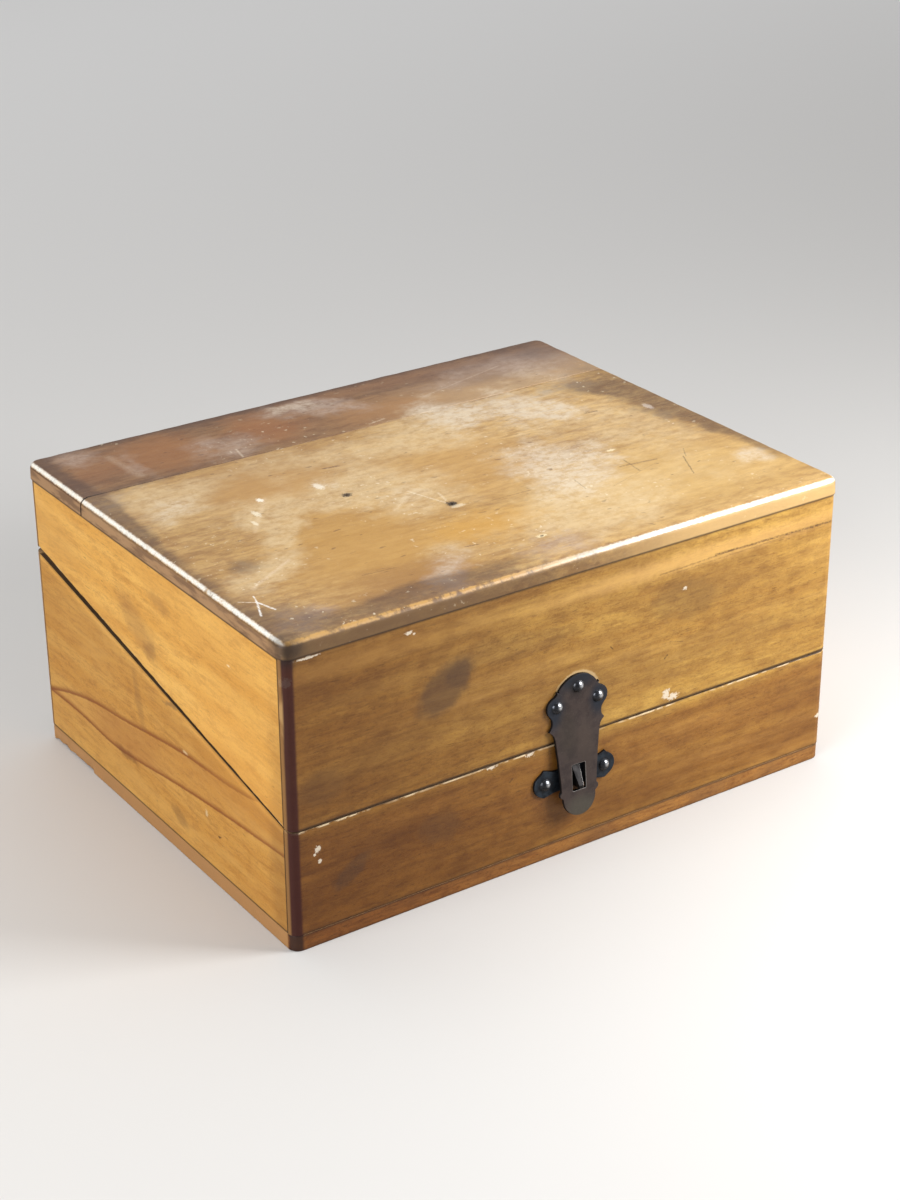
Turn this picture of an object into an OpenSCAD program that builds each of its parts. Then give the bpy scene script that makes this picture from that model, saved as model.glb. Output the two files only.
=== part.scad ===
// Wooden case for a small student microscope.
// A box of thin boards is sawn in two along a slant, and the upper part is hinged at the back as a
// lid. A sprung steel hasp on the lid snaps over the nib of a catch plate at the front.
// The origin is the centre of the underside: X runs right as seen from the front, Y back, Z up.

/* [Case] */
// Width over the side walls
case_w = 242; // [220:1:300]
// Depth over the front and back walls
case_d = 190; // [170:1:240]
// Height from the underside to the top of the lid
case_h = 120; // [116:1:150]
// Thickness of the wall boards
wall_t = 8; // [7:0.5:10]
// Thickness of the bottom board
bottom_t = 6.3; // [4:0.1:9]
// Thickness of the two planks on top of the lid
top_t = 7; // [5:0.1:9]
// Radius of the upright corners
corner_r = 4; // [2:0.1:5]
// How far the top planks stand out past the walls
top_overhang = 0.6; // [0.2:0.1:3]
// Rounding of the upper edge of the top planks
top_arris_r = 3; // [1:0.1:4]
// Distance of the seam between the top planks behind the middle of the case
top_seam_y = 49; // [-30:1:70]
// Thickness left on the front and back boards outside the ends of the side boards
rabbet_lip = 3.6; // [2.5:0.1:5]
// Hairline at each glued joint
joint_gap = 0.15; // [0.05:0.05:0.3]

/* [Slanted cut] */
// Height of the body's rim at the front
rim_front_z = 47.5; // [42:0.5:55]
// Height of the body's rim at the back
rim_rear_z = 82.8; // [70:0.1:90]
// Gap between body and lid at the front
gap_front = 0.4; // [0.3:0.1:1]
// Gap between body and lid at the back, where the hinge leaves lie
gap_rear = 2.8; // [2.8:0.1:3.4]

/* [Hinges] */
// Distance of each hinge's middle from the near end of the case
hinge_end = 47; // [30:1:60]
// Length of a hinge
hinge_len = 38; // [30:1:50]
// Width of a leaf from the pin to its front edge
leaf_w = 6.6; // [6.2:0.1:6.9]
// Thickness of a leaf
leaf_t = 1.1; // [0.8:0.05:1.2]
// Radius of a knuckle
knuckle_r = 2; // [1.9:0.05:2.2]
// Radius of the hinge pin
hinge_pin_r = 1; // [0.8:0.05:1.1]
// Distance of the pin inside the back face
pin_inset = 1.05; // [0.9:0.05:1.2]
// Radius of the hinge screws' shanks
hinge_screw_r = 0.9; // [0.7:0.05:1]
// Radius of the hinge screws' countersunk heads
hinge_screw_head_r = 1.7; // [1.4:0.05:1.8]
// Length of the hinge screws
hinge_screw_len = 8; // [6:0.5:9]
// Distance of the hinge screws in front of the pin
hinge_screw_y = 4.1; // [4.05:0.05:4.3]
// Distance between neighbouring hinge screws
hinge_screw_pitch = 13; // [9:0.5:14]

/* [Hasp] */
// Offset of hasp and catch from the middle of the front
hasp_x = -1.6; // [-10:0.1:10]
// Thickness of the hasp strap
hasp_t = 1.2; // [0.8:0.1:1.5]
// Height of the line where the strap leaves the lid
hasp_bend_z = 56; // [56:0.5:62]
// Angle at which the sprung strap stands off at rest
hasp_tilt = 6; // [5:0.5:8]
// Height of the head's top above the bend line
head_h = 17.4; // [16.5:0.1:19]
// Radius of the head's top lobe
head_lobe_r = 9.8; // [9:0.1:10.5]
// Distance of the side lobes from the middle of the strap
side_lobe_x = 9.15; // [8.5:0.05:10]
// Height of the side lobes above the bend line
side_lobe_z = 6.3; // [6:0.1:7]
// Radius of the side lobes
side_lobe_r = 4.35; // [3.8:0.05:4.8]
// Half width of the strap's neck at the bend line
neck_half = 11.1; // [10.5:0.1:11.8]
// Half width of the strap at its pointed cusps
cusp_half = 12.3; // [11.8:0.1:13.5]
// Half width of the strap at its waist
waist_half = 9.9; // [9:0.1:10.5]
// Half width of the strap where its bumps begin
taper_half = 7.9; // [7:0.1:8.5]
// Length of the strap below the bend line
tongue_len = 38.3; // [37:0.1:40]
// Radius of the strap's rounded end
tongue_end_r = 7.2; // [6.5:0.1:7.6]
// Width of the slot in the strap
slot_w = 6; // [5:0.1:7]
// Length of the slot in the strap
slot_len = 10.3; // [9.5:0.1:11]
// Distance of the slot's upper end below the bend line
slot_top = 18.1; // [17.5:0.1:18.5]

/* [Catch] */
// Thickness of the catch plate
catch_t = 1; // [0.7:0.1:1.2]
// Height of the catch plate's nails above the underside
catch_z = 32.3; // [31:0.1:33.5]
// Distance of each catch nail from the middle of the plate
catch_nail_x = 13.3; // [12.8:0.1:15]
// Radius of the plate's lobed ends
catch_lobe_r = 4.9; // [4.4:0.1:5.2]
// Half height of the plate between its ends
catch_half_h = 4.4; // [3.5:0.1:5]
// Width of the nib where it leaves the plate
nib_w = 3.6; // [2.5:0.1:4]
// Width of the nib at its crest
nib_crest_w = 1.8; // [1:0.1:2.4]
// How far the nib stands out past the strap
nib_proud = 1.2; // [0.8:0.1:1.6]
// Play between the nib and each end of the slot
nib_play = 0.8; // [0.7:0.05:1]

/* [Nails] */
// Radius of the domed nail heads
dome_r = 2.15; // [1.8:0.05:2.4]
// Height of the domed nail heads
dome_h = 1.5; // [1:0.1:1.8]
// Radius of the domed nails' shanks
nail_r = 0.7; // [0.5:0.05:0.9]
// Depth that the domed nails reach into the wood
nail_depth = 5.5; // [4:0.1:6.5]
// Radius of the brads that hold the bottom board
brad_r = 0.8; // [0.6:0.05:1]
// Radius of the brads' flat heads
brad_head_r = 1.5; // [1.2:0.05:1.8]
// Length of the brads
brad_len = 18; // [14:0.5:24]
// Number of brads along the front, and along the back
long_brad_count = 4; // [2:1:7]
// Number of brads along each side
side_brad_count = 2; // [2:1:5]
// Distance of the outer brads from the corners
brad_margin = 26; // [20:1:40]

/* [Fittings] */
// Diameter of the microscope tube that the cradle holds
tube_d = 32; // [24:0.5:36]
// Height of the tube's axis above the underside
tube_axis_z = 52; // [46:0.5:54]
// Thickness of the felt linings
felt_t = 1.5; // [0.8:0.1:2.5]
// Distance of the tube cradle's middle from the right end of the case
cradle_end = 69; // [45:1:75]
// Thickness of the tube cradle
cradle_t = 16; // [12:1:20]
// Length of the tube cradle, front to back
cradle_len = 104; // [70:1:108]
// Thickness of the hold-down block in the lid
presser_t = 14; // [10:1:20]
// Length of the hold-down block, front to back
presser_len = 84; // [60:1:90]
// Distance of the foot chock's middle from the left end of the case
chock_end = 33; // [26:1:36]
// Thickness of the foot chock
chock_t = 20; // [14:1:24]
// Length of the foot chock, front to back
chock_len = 120; // [90:1:130]
// Height of the foot chock
chock_h = 36; // [28:1:38]
// Width of the foot chock's slot
chock_slot_w = 48; // [30:1:60]
// Depth of the foot chock's slot
chock_slot_depth = 24; // [14:1:26]
// Length of the accessory rack
rack_len = 118; // [110:1:120]
// Depth of the accessory rack, front to back
rack_d = 30; // [29:1:34]
// Height of the accessory rack
rack_h = 24; // [21:1:30]
// Distance of the rack's middle left of the middle of the case
rack_x = 12; // [5:1:14]
// Radius of the two eyepiece wells
eyepiece_well_r = 12; // [9:0.5:12.5]
// Radius of the two objective wells
objective_well_r = 9.5; // [7:0.5:12]
// Depth of the wells
well_depth = 18; // [10:1:20]
// Distance between the wells' middles
well_pitch = 28; // [26:0.5:28.5]

/* [Hidden] */
$fn = 48;

// Steps in each rounded stretch of a stamped outline
arc_steps = 8;
// Steps in the rounded upper edge of the top planks
arris_steps = 5;
// Play around a screw, nail or brad in its hole
fastener_play = 0.05;
// Play of the hinge pin in the body's knuckles and in the lid's
pin_fit_fixed = 0.02;
pin_fit_running = 0.06;
// Play along the pin between neighbouring knuckles
knuckle_play = 0.25;
// Play between a knuckle and what turns round it
knuckle_clear = 0.35;
// Glue line behind a felt lining
felt_glue = 0.05;
// Gap between the strap and the hasp plate at the bend line
bend_gap = 0.1;
// Depth of a brad's head below the underside
brad_sink = 0.3;
// Height of a brad's head
brad_head_t = 0.6;
// Share of a hinge screw's head that keeps its full radius
screw_rim = 0.15;
// Clearance between the tube cradle and the hold-down block, halved by the tube's axis
tube_split = 1;
// Chamfer on the upper ends of the fittings
fitting_chamfer = 6;
// Thickness of a slice that stands for an outline in a hull
slice = 0.01;
// Small overrun of cutting shapes
eps = 0.05;

front_y = -case_d / 2;
back_y = case_d / 2;
inner_w = case_w - 2 * wall_t;
inner_d = case_d - 2 * wall_t;
walls_top = case_h - top_t - joint_gap;
reach = case_d;
lid_rim_front_z = rim_front_z + gap_front;
lid_rim_rear_z = rim_rear_z + gap_rear;
body_slope = atan((rim_rear_z - rim_front_z) / case_d);
lid_slope = atan((lid_rim_rear_z - lid_rim_front_z) / case_d);
hinge_x = case_w / 2 - hinge_end;
pin_y = back_y - pin_inset;
pin_z = rim_rear_z + gap_rear / 2;
body_leaf_drop = (pin_z - body_rim(pin_y)) * cos(body_slope);
lid_leaf_rise = (lid_rim(pin_y) - pin_z) * cos(lid_slope);
knuckle_len = hinge_len / 3;
strap_outer = hasp_t + (hasp_bend_z - catch_z) * tan(hasp_tilt);
nib_top_z = hasp_bend_z - slot_top * cos(hasp_tilt) - nib_play;
nib_bottom_z = hasp_bend_z - (slot_top + slot_len) * cos(hasp_tilt) + nib_play;
nib_height = strap_outer + (catch_z - nib_bottom_z) * tan(hasp_tilt) + nib_proud;
tube_r = tube_d / 2;
notch_r = tube_r + felt_t;
cradle_x = case_w / 2 - cradle_end;
chock_x = chock_end - case_w / 2;
cradle_top = tube_axis_z - tube_split;
presser_bottom = tube_axis_z + tube_split;
chock_floor = bottom_t + chock_h - chock_slot_depth;
rack_y = -inner_d / 2 + rack_d / 2;
well_radii = [eyepiece_well_r, eyepiece_well_r, objective_well_r, objective_well_r];
hasp_nail_places = [[-side_lobe_x, side_lobe_z], [side_lobe_x, side_lobe_z], [0, head_h - 4.8]];

// Height of the body's rim at a distance y
function body_rim(y) = rim_front_z + (y + case_d / 2) * (rim_rear_z - rim_front_z) / case_d;
// Height of the lid's rim at a distance y
function lid_rim(y) =
    lid_rim_front_z + (y + case_d / 2) * (lid_rim_rear_z - lid_rim_front_z) / case_d;
// Points of an arc, from angle a0 to a1
function arc(centre, r, a0, a1) =
    [for (i = [0 : arc_steps]) centre + r * [cos(a0 + (a1 - a0) * i / arc_steps),
                                             sin(a0 + (a1 - a0) * i / arc_steps)]];
// A closed outline from its right half, listed from top to bottom
function both_halves(half) =
    concat(half, [for (i = [len(half) - 1 : -1 : 0]) [-half[i][0], half[i][1]]]);
// Evenly spread places over a span
function spread(count, span) = [for (i = [0 : count - 1]) span * (i / (count - 1) - 0.5)];

// Plan of the case with rounded corners
module case_plan(extra = 0) {
    w = case_w + 2 * extra;
    d = case_d + 2 * extra;
    r = corner_r + extra;
    square([w - 2 * r, d], center = true);
    square([w, d - 2 * r], center = true);
    for (sx = [-1, 1], sy = [-1, 1])
        translate([sx * (w / 2 - r), sy * (d / 2 - r)]) circle(r = r);
}

// Plan of the front or back board, rabbeted at both ends for the side boards
module end_board_plan(side) {
    translate([0, side * (case_d - rabbet_lip) / 2])
        square([case_w, rabbet_lip], center = true);
    translate([0, side * (case_d - wall_t) / 2])
        square([inner_w - 2 * joint_gap, wall_t], center = true);
}

// Plan of a side board between the rabbets
module side_board_plan(side) {
    translate([side * (case_w - wall_t) / 2, 0])
        square([wall_t, case_d - 2 * rabbet_lip - 2 * joint_gap], center = true);
}

// A profile drawn in Y and Z, carried along X
module along_x(length) {
    rotate([90, 0, 90]) linear_extrude(height = length, center = true) children();
}

// The height that the body's boards fill, below the slanted cut
module body_span() {
    along_x(2 * case_w) polygon([
        [-reach, bottom_t + joint_gap], [reach, bottom_t + joint_gap],
        [reach, body_rim(reach)], [-reach, body_rim(-reach)]
    ]);
}

// The height that the lid's boards fill, above the slanted cut
module lid_span() {
    along_x(2 * case_w) polygon([
        [-reach, lid_rim(-reach)], [reach, lid_rim(reach)], [reach, walls_top], [-reach, walls_top]
    ]);
}

// An upright board with a plan of its own, kept within the case's rounded plan
module upright_board() {
    linear_extrude(height = case_h) intersection() {
        case_plan();
        children();
    }
}

// Places the children at each brad of the bottom board
module at_brads() {
    for (x = spread(long_brad_count, case_w - 2 * brad_margin), side = [-1, 1])
        translate([x, side * (case_d - wall_t) / 2, 0]) children();
    for (y = spread(side_brad_count, case_d - 4 * brad_margin), side = [-1, 1])
        translate([side * (case_w - wall_t) / 2, y, 0]) children();
}

module brad_hole() {
    translate([0, 0, -eps]) cylinder(r = brad_r + fastener_play, h = brad_len + 2 * eps);
    translate([0, 0, -eps])
        cylinder(r = brad_head_r + fastener_play, h = brad_sink + brad_head_t + 2 * eps);
}

module brad() {
    translate([0, 0, brad_sink]) {
        cylinder(r = brad_head_r, h = brad_head_t);
        cylinder(r = brad_r, h = brad_len - brad_sink);
    }
}

// Turns the children into a hinge's frame: origin on the pin, Y along the body's rim
module on_body_rim(side) {
    translate([side * hinge_x, pin_y, pin_z]) rotate([body_slope, 0, 0]) children();
}

// The same along the lid's rim
module on_lid_rim(side) {
    translate([side * hinge_x, pin_y, pin_z]) rotate([lid_slope, 0, 0]) children();
}

// Places the children at each screw of a leaf, pointing into the wood
module at_leaf_screws() {
    for (i = [-1 : 1]) translate([i * hinge_screw_pitch, -hinge_screw_y, 0]) children();
}

// A countersunk screw, or its hole with some play, from the open face of a leaf downwards
module hinge_screw(play = 0) {
    rim = leaf_t * screw_rim;
    over = play > 0 ? eps : 0;
    translate([0, 0, -rim]) cylinder(r = hinge_screw_head_r + play, h = rim + over);
    translate([0, 0, -leaf_t])
        cylinder(r1 = hinge_screw_r + play, r2 = hinge_screw_head_r + play, h = leaf_t - rim);
    translate([0, 0, -hinge_screw_len - over])
        cylinder(r = hinge_screw_r + play, h = hinge_screw_len - leaf_t + 2 * over);
}

// A stretch of knuckle about the pin, along X
module barrel(length, r) {
    rotate([0, 90, 0]) cylinder(r = r, h = length, center = true);
}

// One leaf with its knuckles, whose flat lies from z0 to z0 + leaf_t
module hinge_leaf(z0, knuckle_places, pin_play) {
    own_len = knuckle_len - knuckle_play;
    difference() {
        union() {
            translate([-hinge_len / 2, -leaf_w, z0])
                cube([hinge_len, leaf_w - knuckle_r - knuckle_clear, leaf_t]);
            for (i = knuckle_places) translate([i * knuckle_len, 0, 0]) {
                barrel(own_len, knuckle_r);
                translate([-own_len / 2, -leaf_w, z0]) cube([own_len, leaf_w, leaf_t]);
            }
        }
        barrel(hinge_len + 2 * eps, hinge_pin_r + pin_play);
    }
}

// Room for the knuckles in the rear edges of body and lid
module knuckle_notches() {
    for (side = [-1, 1]) translate([side * hinge_x, pin_y, pin_z])
        barrel(hinge_len + 2 * knuckle_clear, knuckle_r + knuckle_clear);
}

// Pilot holes for the hinge screws in the body
module body_screw_holes() {
    for (side = [-1, 1]) on_body_rim(side) translate([0, 0, leaf_t - body_leaf_drop])
        at_leaf_screws() hinge_screw(fastener_play);
}

// Pilot holes for the hinge screws in the lid
module lid_screw_holes() {
    for (side = [-1, 1]) on_lid_rim(side) translate([0, 0, lid_leaf_rise - leaf_t])
        at_leaf_screws() mirror([0, 0, 1]) hinge_screw(fastener_play);
}

// Carries a flat outline drawn in X and Z out from the front face
module on_front(thickness, z) {
    translate([hasp_x, front_y, z]) rotate([90, 0, 0])
        linear_extrude(height = thickness) children();
}

// A domed nail that points into the wood, its head seated at height 0
module domed_nail() {
    sphere_r = (pow(dome_r, 2) + pow(dome_h, 2)) / (2 * dome_h);
    intersection() {
        translate([0, 0, dome_h - sphere_r]) sphere(r = sphere_r);
        cylinder(r = dome_r + eps, h = dome_h + eps);
    }
    translate([0, 0, -nail_depth]) cylinder(r = nail_r, h = nail_depth + eps);
}

// Places the children at each nail of the hasp's head, outwards along Z
module at_hasp_nails() {
    for (p = hasp_nail_places) translate([hasp_x + p[0], front_y - hasp_t, hasp_bend_z + p[1]])
        rotate([90, 0, 0]) children();
}

// Places the children at each nail of the catch plate, outwards along Z
module at_catch_nails() {
    for (side = [-1, 1])
        translate([hasp_x + side * catch_nail_x, front_y - catch_t, catch_z])
            rotate([90, 0, 0]) children();
}

module nail_hole() {
    translate([0, 0, -nail_depth - eps])
        cylinder(r = nail_r + fastener_play, h = nail_depth + 3 * eps);
}

module bottom_board() {
    color("#a9773c") difference() {
        linear_extrude(height = bottom_t) case_plan();
        at_brads() brad_hole();
    }
}

module body_end_board(side) {
    intersection() {
        upright_board() end_board_plan(side);
        body_span();
    }
}

module body_side_board(side) {
    color("#c8893a") difference() {
        intersection() {
            upright_board() side_board_plan(side);
            body_span();
        }
        at_brads() brad_hole();
    }
}

module body_front_board() {
    color("#b57a35") difference() {
        body_end_board(-1);
        at_brads() brad_hole();
        at_catch_nails() nail_hole();
    }
}

module body_back_board() {
    color("#b57a35") difference() {
        body_end_board(1);
        at_brads() brad_hole();
        knuckle_notches();
        body_screw_holes();
    }
}

module body_left_board() {
    body_side_board(-1);
}

module body_right_board() {
    body_side_board(1);
}

module bottom_brads() {
    color("#6f6a62") at_brads() brad();
}

module body_hinge_leaf(side) {
    color("#b08d3f") difference() {
        on_body_rim(side) hinge_leaf(-body_leaf_drop, [-1, 1], pin_fit_fixed);
        body_screw_holes();
    }
}

module body_hinge_leaf_left() {
    body_hinge_leaf(-1);
}

module body_hinge_leaf_right() {
    body_hinge_leaf(1);
}

module hinge_pin(side) {
    color("#8f8a80") translate([side * hinge_x, pin_y, pin_z]) barrel(hinge_len, hinge_pin_r);
}

module hinge_pin_left() {
    hinge_pin(-1);
}

module hinge_pin_right() {
    hinge_pin(1);
}

module body_hinge_screws() {
    color("#b08d3f") for (side = [-1, 1]) on_body_rim(side)
        translate([0, 0, leaf_t - body_leaf_drop]) at_leaf_screws() hinge_screw();
}

module catch_plate() {
    cusp_x = catch_nail_x + 0.5;
    half = concat(
        [[0, catch_half_h], [catch_nail_x - 3.8, catch_half_h], [cusp_x, catch_lobe_r + 1]],
        arc([catch_nail_x, 0], catch_lobe_r, 70, -64),
        [[cusp_x, -catch_lobe_r - 0.5], [catch_nail_x - 3.8, -catch_half_h], [0, -catch_half_h]]
    );
    color("#39424b") difference() {
        union() {
            on_front(catch_t, catch_z) polygon(both_halves(half));
            catch_nib();
        }
        at_catch_nails() nail_hole();
    }
}

// The nib is struck up from the plate: a ramp that widens upwards and ends square below
module catch_nib() {
    intersection() {
        translate([hasp_x, front_y, 0]) along_x(nib_w) polygon([
            [0, nib_top_z], [-catch_t, nib_top_z], [-nib_height, nib_bottom_z + nib_proud],
            [-nib_height, nib_bottom_z], [0, nib_bottom_z]
        ]);
        on_front(nib_height + 1, 0) polygon([
            [-nib_w / 2, nib_top_z + eps], [nib_w / 2, nib_top_z + eps],
            [nib_crest_w / 2, nib_bottom_z - eps], [-nib_crest_w / 2, nib_bottom_z - eps]
        ]);
    }
}

module catch_nails() {
    color("#17191c") at_catch_nails() domed_nail();
}

// A block on the floor of the case, with chamfered upper ends, drawn in Y and Z
module floor_block_profile(length, top) {
    polygon([
        [-length / 2, bottom_t], [length / 2, bottom_t], [length / 2, top - fitting_chamfer],
        [length / 2 - fitting_chamfer, top], [fitting_chamfer - length / 2, top],
        [-length / 2, top - fitting_chamfer]
    ]);
}

module foot_chock() {
    color("#d8b070") translate([chock_x, 0, 0]) along_x(chock_t) difference() {
        floor_block_profile(chock_len, bottom_t + chock_h);
        translate([-chock_slot_w / 2, chock_floor]) square([chock_slot_w, chock_slot_depth + eps]);
    }
}

module foot_chock_felt() {
    color("#2f5a41") translate([chock_x, 0, 0]) along_x(chock_t)
        translate([felt_glue - chock_slot_w / 2, chock_floor + felt_glue])
            square([chock_slot_w - 2 * felt_glue, felt_t]);
}

module tube_cradle() {
    color("#d8b070") translate([cradle_x, 0, 0]) along_x(cradle_t) difference() {
        floor_block_profile(cradle_len, cradle_top);
        translate([0, tube_axis_z]) circle(r = notch_r);
    }
}

// Half of a felt ring round the tube, below its axis or above it
module felt_half_ring(length, side) {
    along_x(length) intersection() {
        translate([0, tube_axis_z]) difference() {
            circle(r = notch_r - felt_glue);
            circle(r = tube_r);
        }
        translate([-notch_r, tube_axis_z + side * (tube_split + notch_r) - notch_r])
            square([2 * notch_r, 2 * notch_r]);
    }
}

module tube_cradle_felt() {
    color("#2f5a41") translate([cradle_x, 0, 0]) felt_half_ring(cradle_t, -1);
}

module accessory_rack() {
    color("#d8b070") translate([-rack_x, rack_y, bottom_t]) difference() {
        translate([-rack_len / 2, -rack_d / 2, 0]) cube([rack_len, rack_d, rack_h]);
        for (i = [0 : len(well_radii) - 1])
            translate([(i - (len(well_radii) - 1) / 2) * well_pitch, 0, rack_h - well_depth])
                cylinder(r = well_radii[i], h = well_depth + eps);
    }
}

module lid_end_board(side) {
    intersection() {
        upright_board() end_board_plan(side);
        lid_span();
    }
}

module lid_side_board(side) {
    color("#c8893a") intersection() {
        upright_board() side_board_plan(side);
        lid_span();
    }
}

module lid_front_board() {
    color("#b57a35") difference() {
        lid_end_board(-1);
        at_hasp_nails() nail_hole();
    }
}

module lid_back_board() {
    color("#b57a35") difference() {
        lid_end_board(1);
        knuckle_notches();
        lid_screw_holes();
    }
}

module lid_left_board() {
    lid_side_board(-1);
}

module lid_right_board() {
    lid_side_board(1);
}

// The whole top with its upper edge rounded over, before it is split into planks
module eased_top() {
    w = case_w + 2 * top_overhang;
    d = case_d + 2 * top_overhang;
    plan_r = corner_r + top_overhang;
    arris = min(top_arris_r, plan_r - eps);
    hull() for (sx = [-1, 1], sy = [-1, 1])
        translate([sx * (w / 2 - plan_r), sy * (d / 2 - plan_r), case_h - top_t]) {
            cylinder(r = plan_r, h = top_t - arris, $fn = 32);
            for (i = [1 : arris_steps]) {
                a = 90 * i / arris_steps;
                translate([0, 0, top_t - arris + arris * sin(a) - slice])
                    cylinder(r = plan_r - arris * (1 - cos(a)), h = slice, $fn = 32);
            }
        }
}

// The part of the top from y0 to y1
module top_plank(y0, y1) {
    color("#a5752f") intersection() {
        eased_top();
        translate([-case_w, y0, 0]) cube([2 * case_w, y1 - y0, 2 * case_h]);
    }
}

module lid_top_front_plank() {
    top_plank(-case_d, top_seam_y - joint_gap / 2);
}

module lid_top_rear_plank() {
    top_plank(top_seam_y + joint_gap / 2, case_d);
}

module lid_hinge_leaf(side) {
    color("#b08d3f") difference() {
        on_lid_rim(side) hinge_leaf(lid_leaf_rise - leaf_t, [0], pin_fit_running);
        lid_screw_holes();
    }
}

module lid_hinge_leaf_left() {
    lid_hinge_leaf(-1);
}

module lid_hinge_leaf_right() {
    lid_hinge_leaf(1);
}

module lid_hinge_screws() {
    color("#b08d3f") for (side = [-1, 1]) on_lid_rim(side)
        translate([0, 0, lid_leaf_rise - leaf_t])
            at_leaf_screws() mirror([0, 0, 1]) hinge_screw();
}

module lid_presser() {
    top = case_h - top_t;
    color("#d8b070") translate([cradle_x, 0, 0]) along_x(presser_t) difference() {
        polygon([
            [-presser_len / 2, top], [presser_len / 2, top],
            [presser_len / 2, presser_bottom + fitting_chamfer],
            [presser_len / 2 - fitting_chamfer, presser_bottom],
            [fitting_chamfer - presser_len / 2, presser_bottom],
            [-presser_len / 2, presser_bottom + fitting_chamfer]
        ]);
        translate([0, tube_axis_z]) circle(r = notch_r);
    }
}

module lid_presser_felt() {
    color("#2f5a41") translate([cradle_x, 0, 0]) felt_half_ring(presser_t, 1);
}

// The head: a top lobe, a small cusp and a side lobe on each side
module hasp_plate() {
    lobe_z = head_h - head_lobe_r;
    half = concat(
        arc([0, lobe_z], head_lobe_r, 90, 30),
        [[side_lobe_x - 0.8, lobe_z + 4.3], [side_lobe_x + 0.3, lobe_z + 4.8],
         [side_lobe_x + 0.1, lobe_z + 3.8]],
        arc([side_lobe_x, side_lobe_z], side_lobe_r, 75, -48),
        [[neck_half, 1.6], [neck_half - 0.2, bend_gap]]
    );
    color("#3f3f41") difference() {
        on_front(hasp_t, hasp_bend_z) polygon(both_halves(half));
        at_hasp_nails() nail_hole();
    }
}

module hasp_nails() {
    color("#17191c") at_hasp_nails() domed_nail();
}

// The sprung strap below the bend line: cusps, waist, taper, bumps and a round end, with a slot
module hasp_tongue() {
    end_z = tongue_end_r - tongue_len;
    half = concat(
        [[neck_half - 0.2, 0], [neck_half + 0.1, -1.4], [cusp_half, -2.9], [cusp_half - 1.1, -3.8],
         [waist_half + 0.5, -5], [waist_half, -6.6], [waist_half - 0.9, -14],
         [taper_half + 0.4, -21.5], [taper_half, end_z + 4.4]],
        arc([taper_half - 0.7, end_z + 2.3], 1.45, 62, -52),
        arc([0, end_z], tongue_end_r, 4, -90)
    );
    color("#4a4440") translate([hasp_x, front_y - hasp_t, hasp_bend_z]) rotate([-hasp_tilt, 0, 0])
        translate([0, hasp_t, 0]) rotate([90, 0, 0]) linear_extrude(height = hasp_t) difference() {
            polygon(both_halves(half));
            translate([-slot_w / 2, -slot_top - slot_len]) square([slot_w, slot_len]);
        }
}

bottom_board();
body_front_board();
body_back_board();
body_left_board();
body_right_board();
bottom_brads();
body_hinge_leaf_left();
body_hinge_leaf_right();
hinge_pin_left();
hinge_pin_right();
body_hinge_screws();
catch_plate();
catch_nails();
foot_chock();
foot_chock_felt();
tube_cradle();
tube_cradle_felt();
accessory_rack();
lid_front_board();
lid_back_board();
lid_left_board();
lid_right_board();
lid_top_front_plank();
lid_top_rear_plank();
lid_hinge_leaf_left();
lid_hinge_leaf_right();
lid_hinge_screws();
lid_presser();
lid_presser_felt();
hasp_plate();
hasp_nails();
hasp_tongue();
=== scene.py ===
"""The looks of a wooden microscope case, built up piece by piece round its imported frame.

The sections follow the case as a maker puts it together. Sizes are in metres in the shaders and in
millimetres wherever a section gives them to mm(), block() or a Finish.
"""

from math import atan2, cos, pi, radians, sin

import bmesh
import bpy
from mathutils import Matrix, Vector


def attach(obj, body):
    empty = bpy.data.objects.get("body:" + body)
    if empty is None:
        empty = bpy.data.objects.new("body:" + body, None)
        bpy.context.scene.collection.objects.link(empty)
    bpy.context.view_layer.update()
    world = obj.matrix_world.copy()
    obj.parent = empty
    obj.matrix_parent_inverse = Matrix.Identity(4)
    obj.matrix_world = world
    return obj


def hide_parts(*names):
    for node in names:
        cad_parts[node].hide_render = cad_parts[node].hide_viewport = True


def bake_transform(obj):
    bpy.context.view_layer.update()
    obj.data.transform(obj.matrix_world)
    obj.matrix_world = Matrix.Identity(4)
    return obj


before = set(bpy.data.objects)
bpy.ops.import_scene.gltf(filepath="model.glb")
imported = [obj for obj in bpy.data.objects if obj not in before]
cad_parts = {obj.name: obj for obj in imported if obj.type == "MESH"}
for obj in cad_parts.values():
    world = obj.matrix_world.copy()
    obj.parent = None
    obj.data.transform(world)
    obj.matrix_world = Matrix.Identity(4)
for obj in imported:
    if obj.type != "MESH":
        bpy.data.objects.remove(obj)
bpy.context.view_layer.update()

# The camera stands above the left front corner of the case and looks down a little. Its place and
# its lens were fitted to the straight edges of the case in the photograph.
bpy.ops.object.select_all(action="DESELECT")
bpy.ops.object.camera_add(
    location=(-0.4615, -0.6924, 0.4652),
    rotation=(radians(64.286), radians(0.311), radians(-34.363)),
)
camera = bpy.context.object
camera.data.lens = 71.4
bpy.context.scene.camera = camera
bpy.context.scene.view_settings.view_transform = "Standard"


# The studio: a pale floor, a broad soft window on the left, a nearer lamp low on the right that
# rakes the front, and a pale surround. Finish and its helpers build every material in this file.
def paint(red, green, blue):
    """A colour given from 0 to 255, as on a screen, as the linear colour that shaders take."""
    parts = [value / 255 for value in (red, green, blue)]
    return (*(v / 12.92 if v <= 0.04045 else ((v + 0.055) / 1.055) ** 2.4 for v in parts), 1.0)


def mm(x, y, z):
    """A place or a size in millimetres, as metres."""
    return Vector((x, y, z)) / 1000


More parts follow.
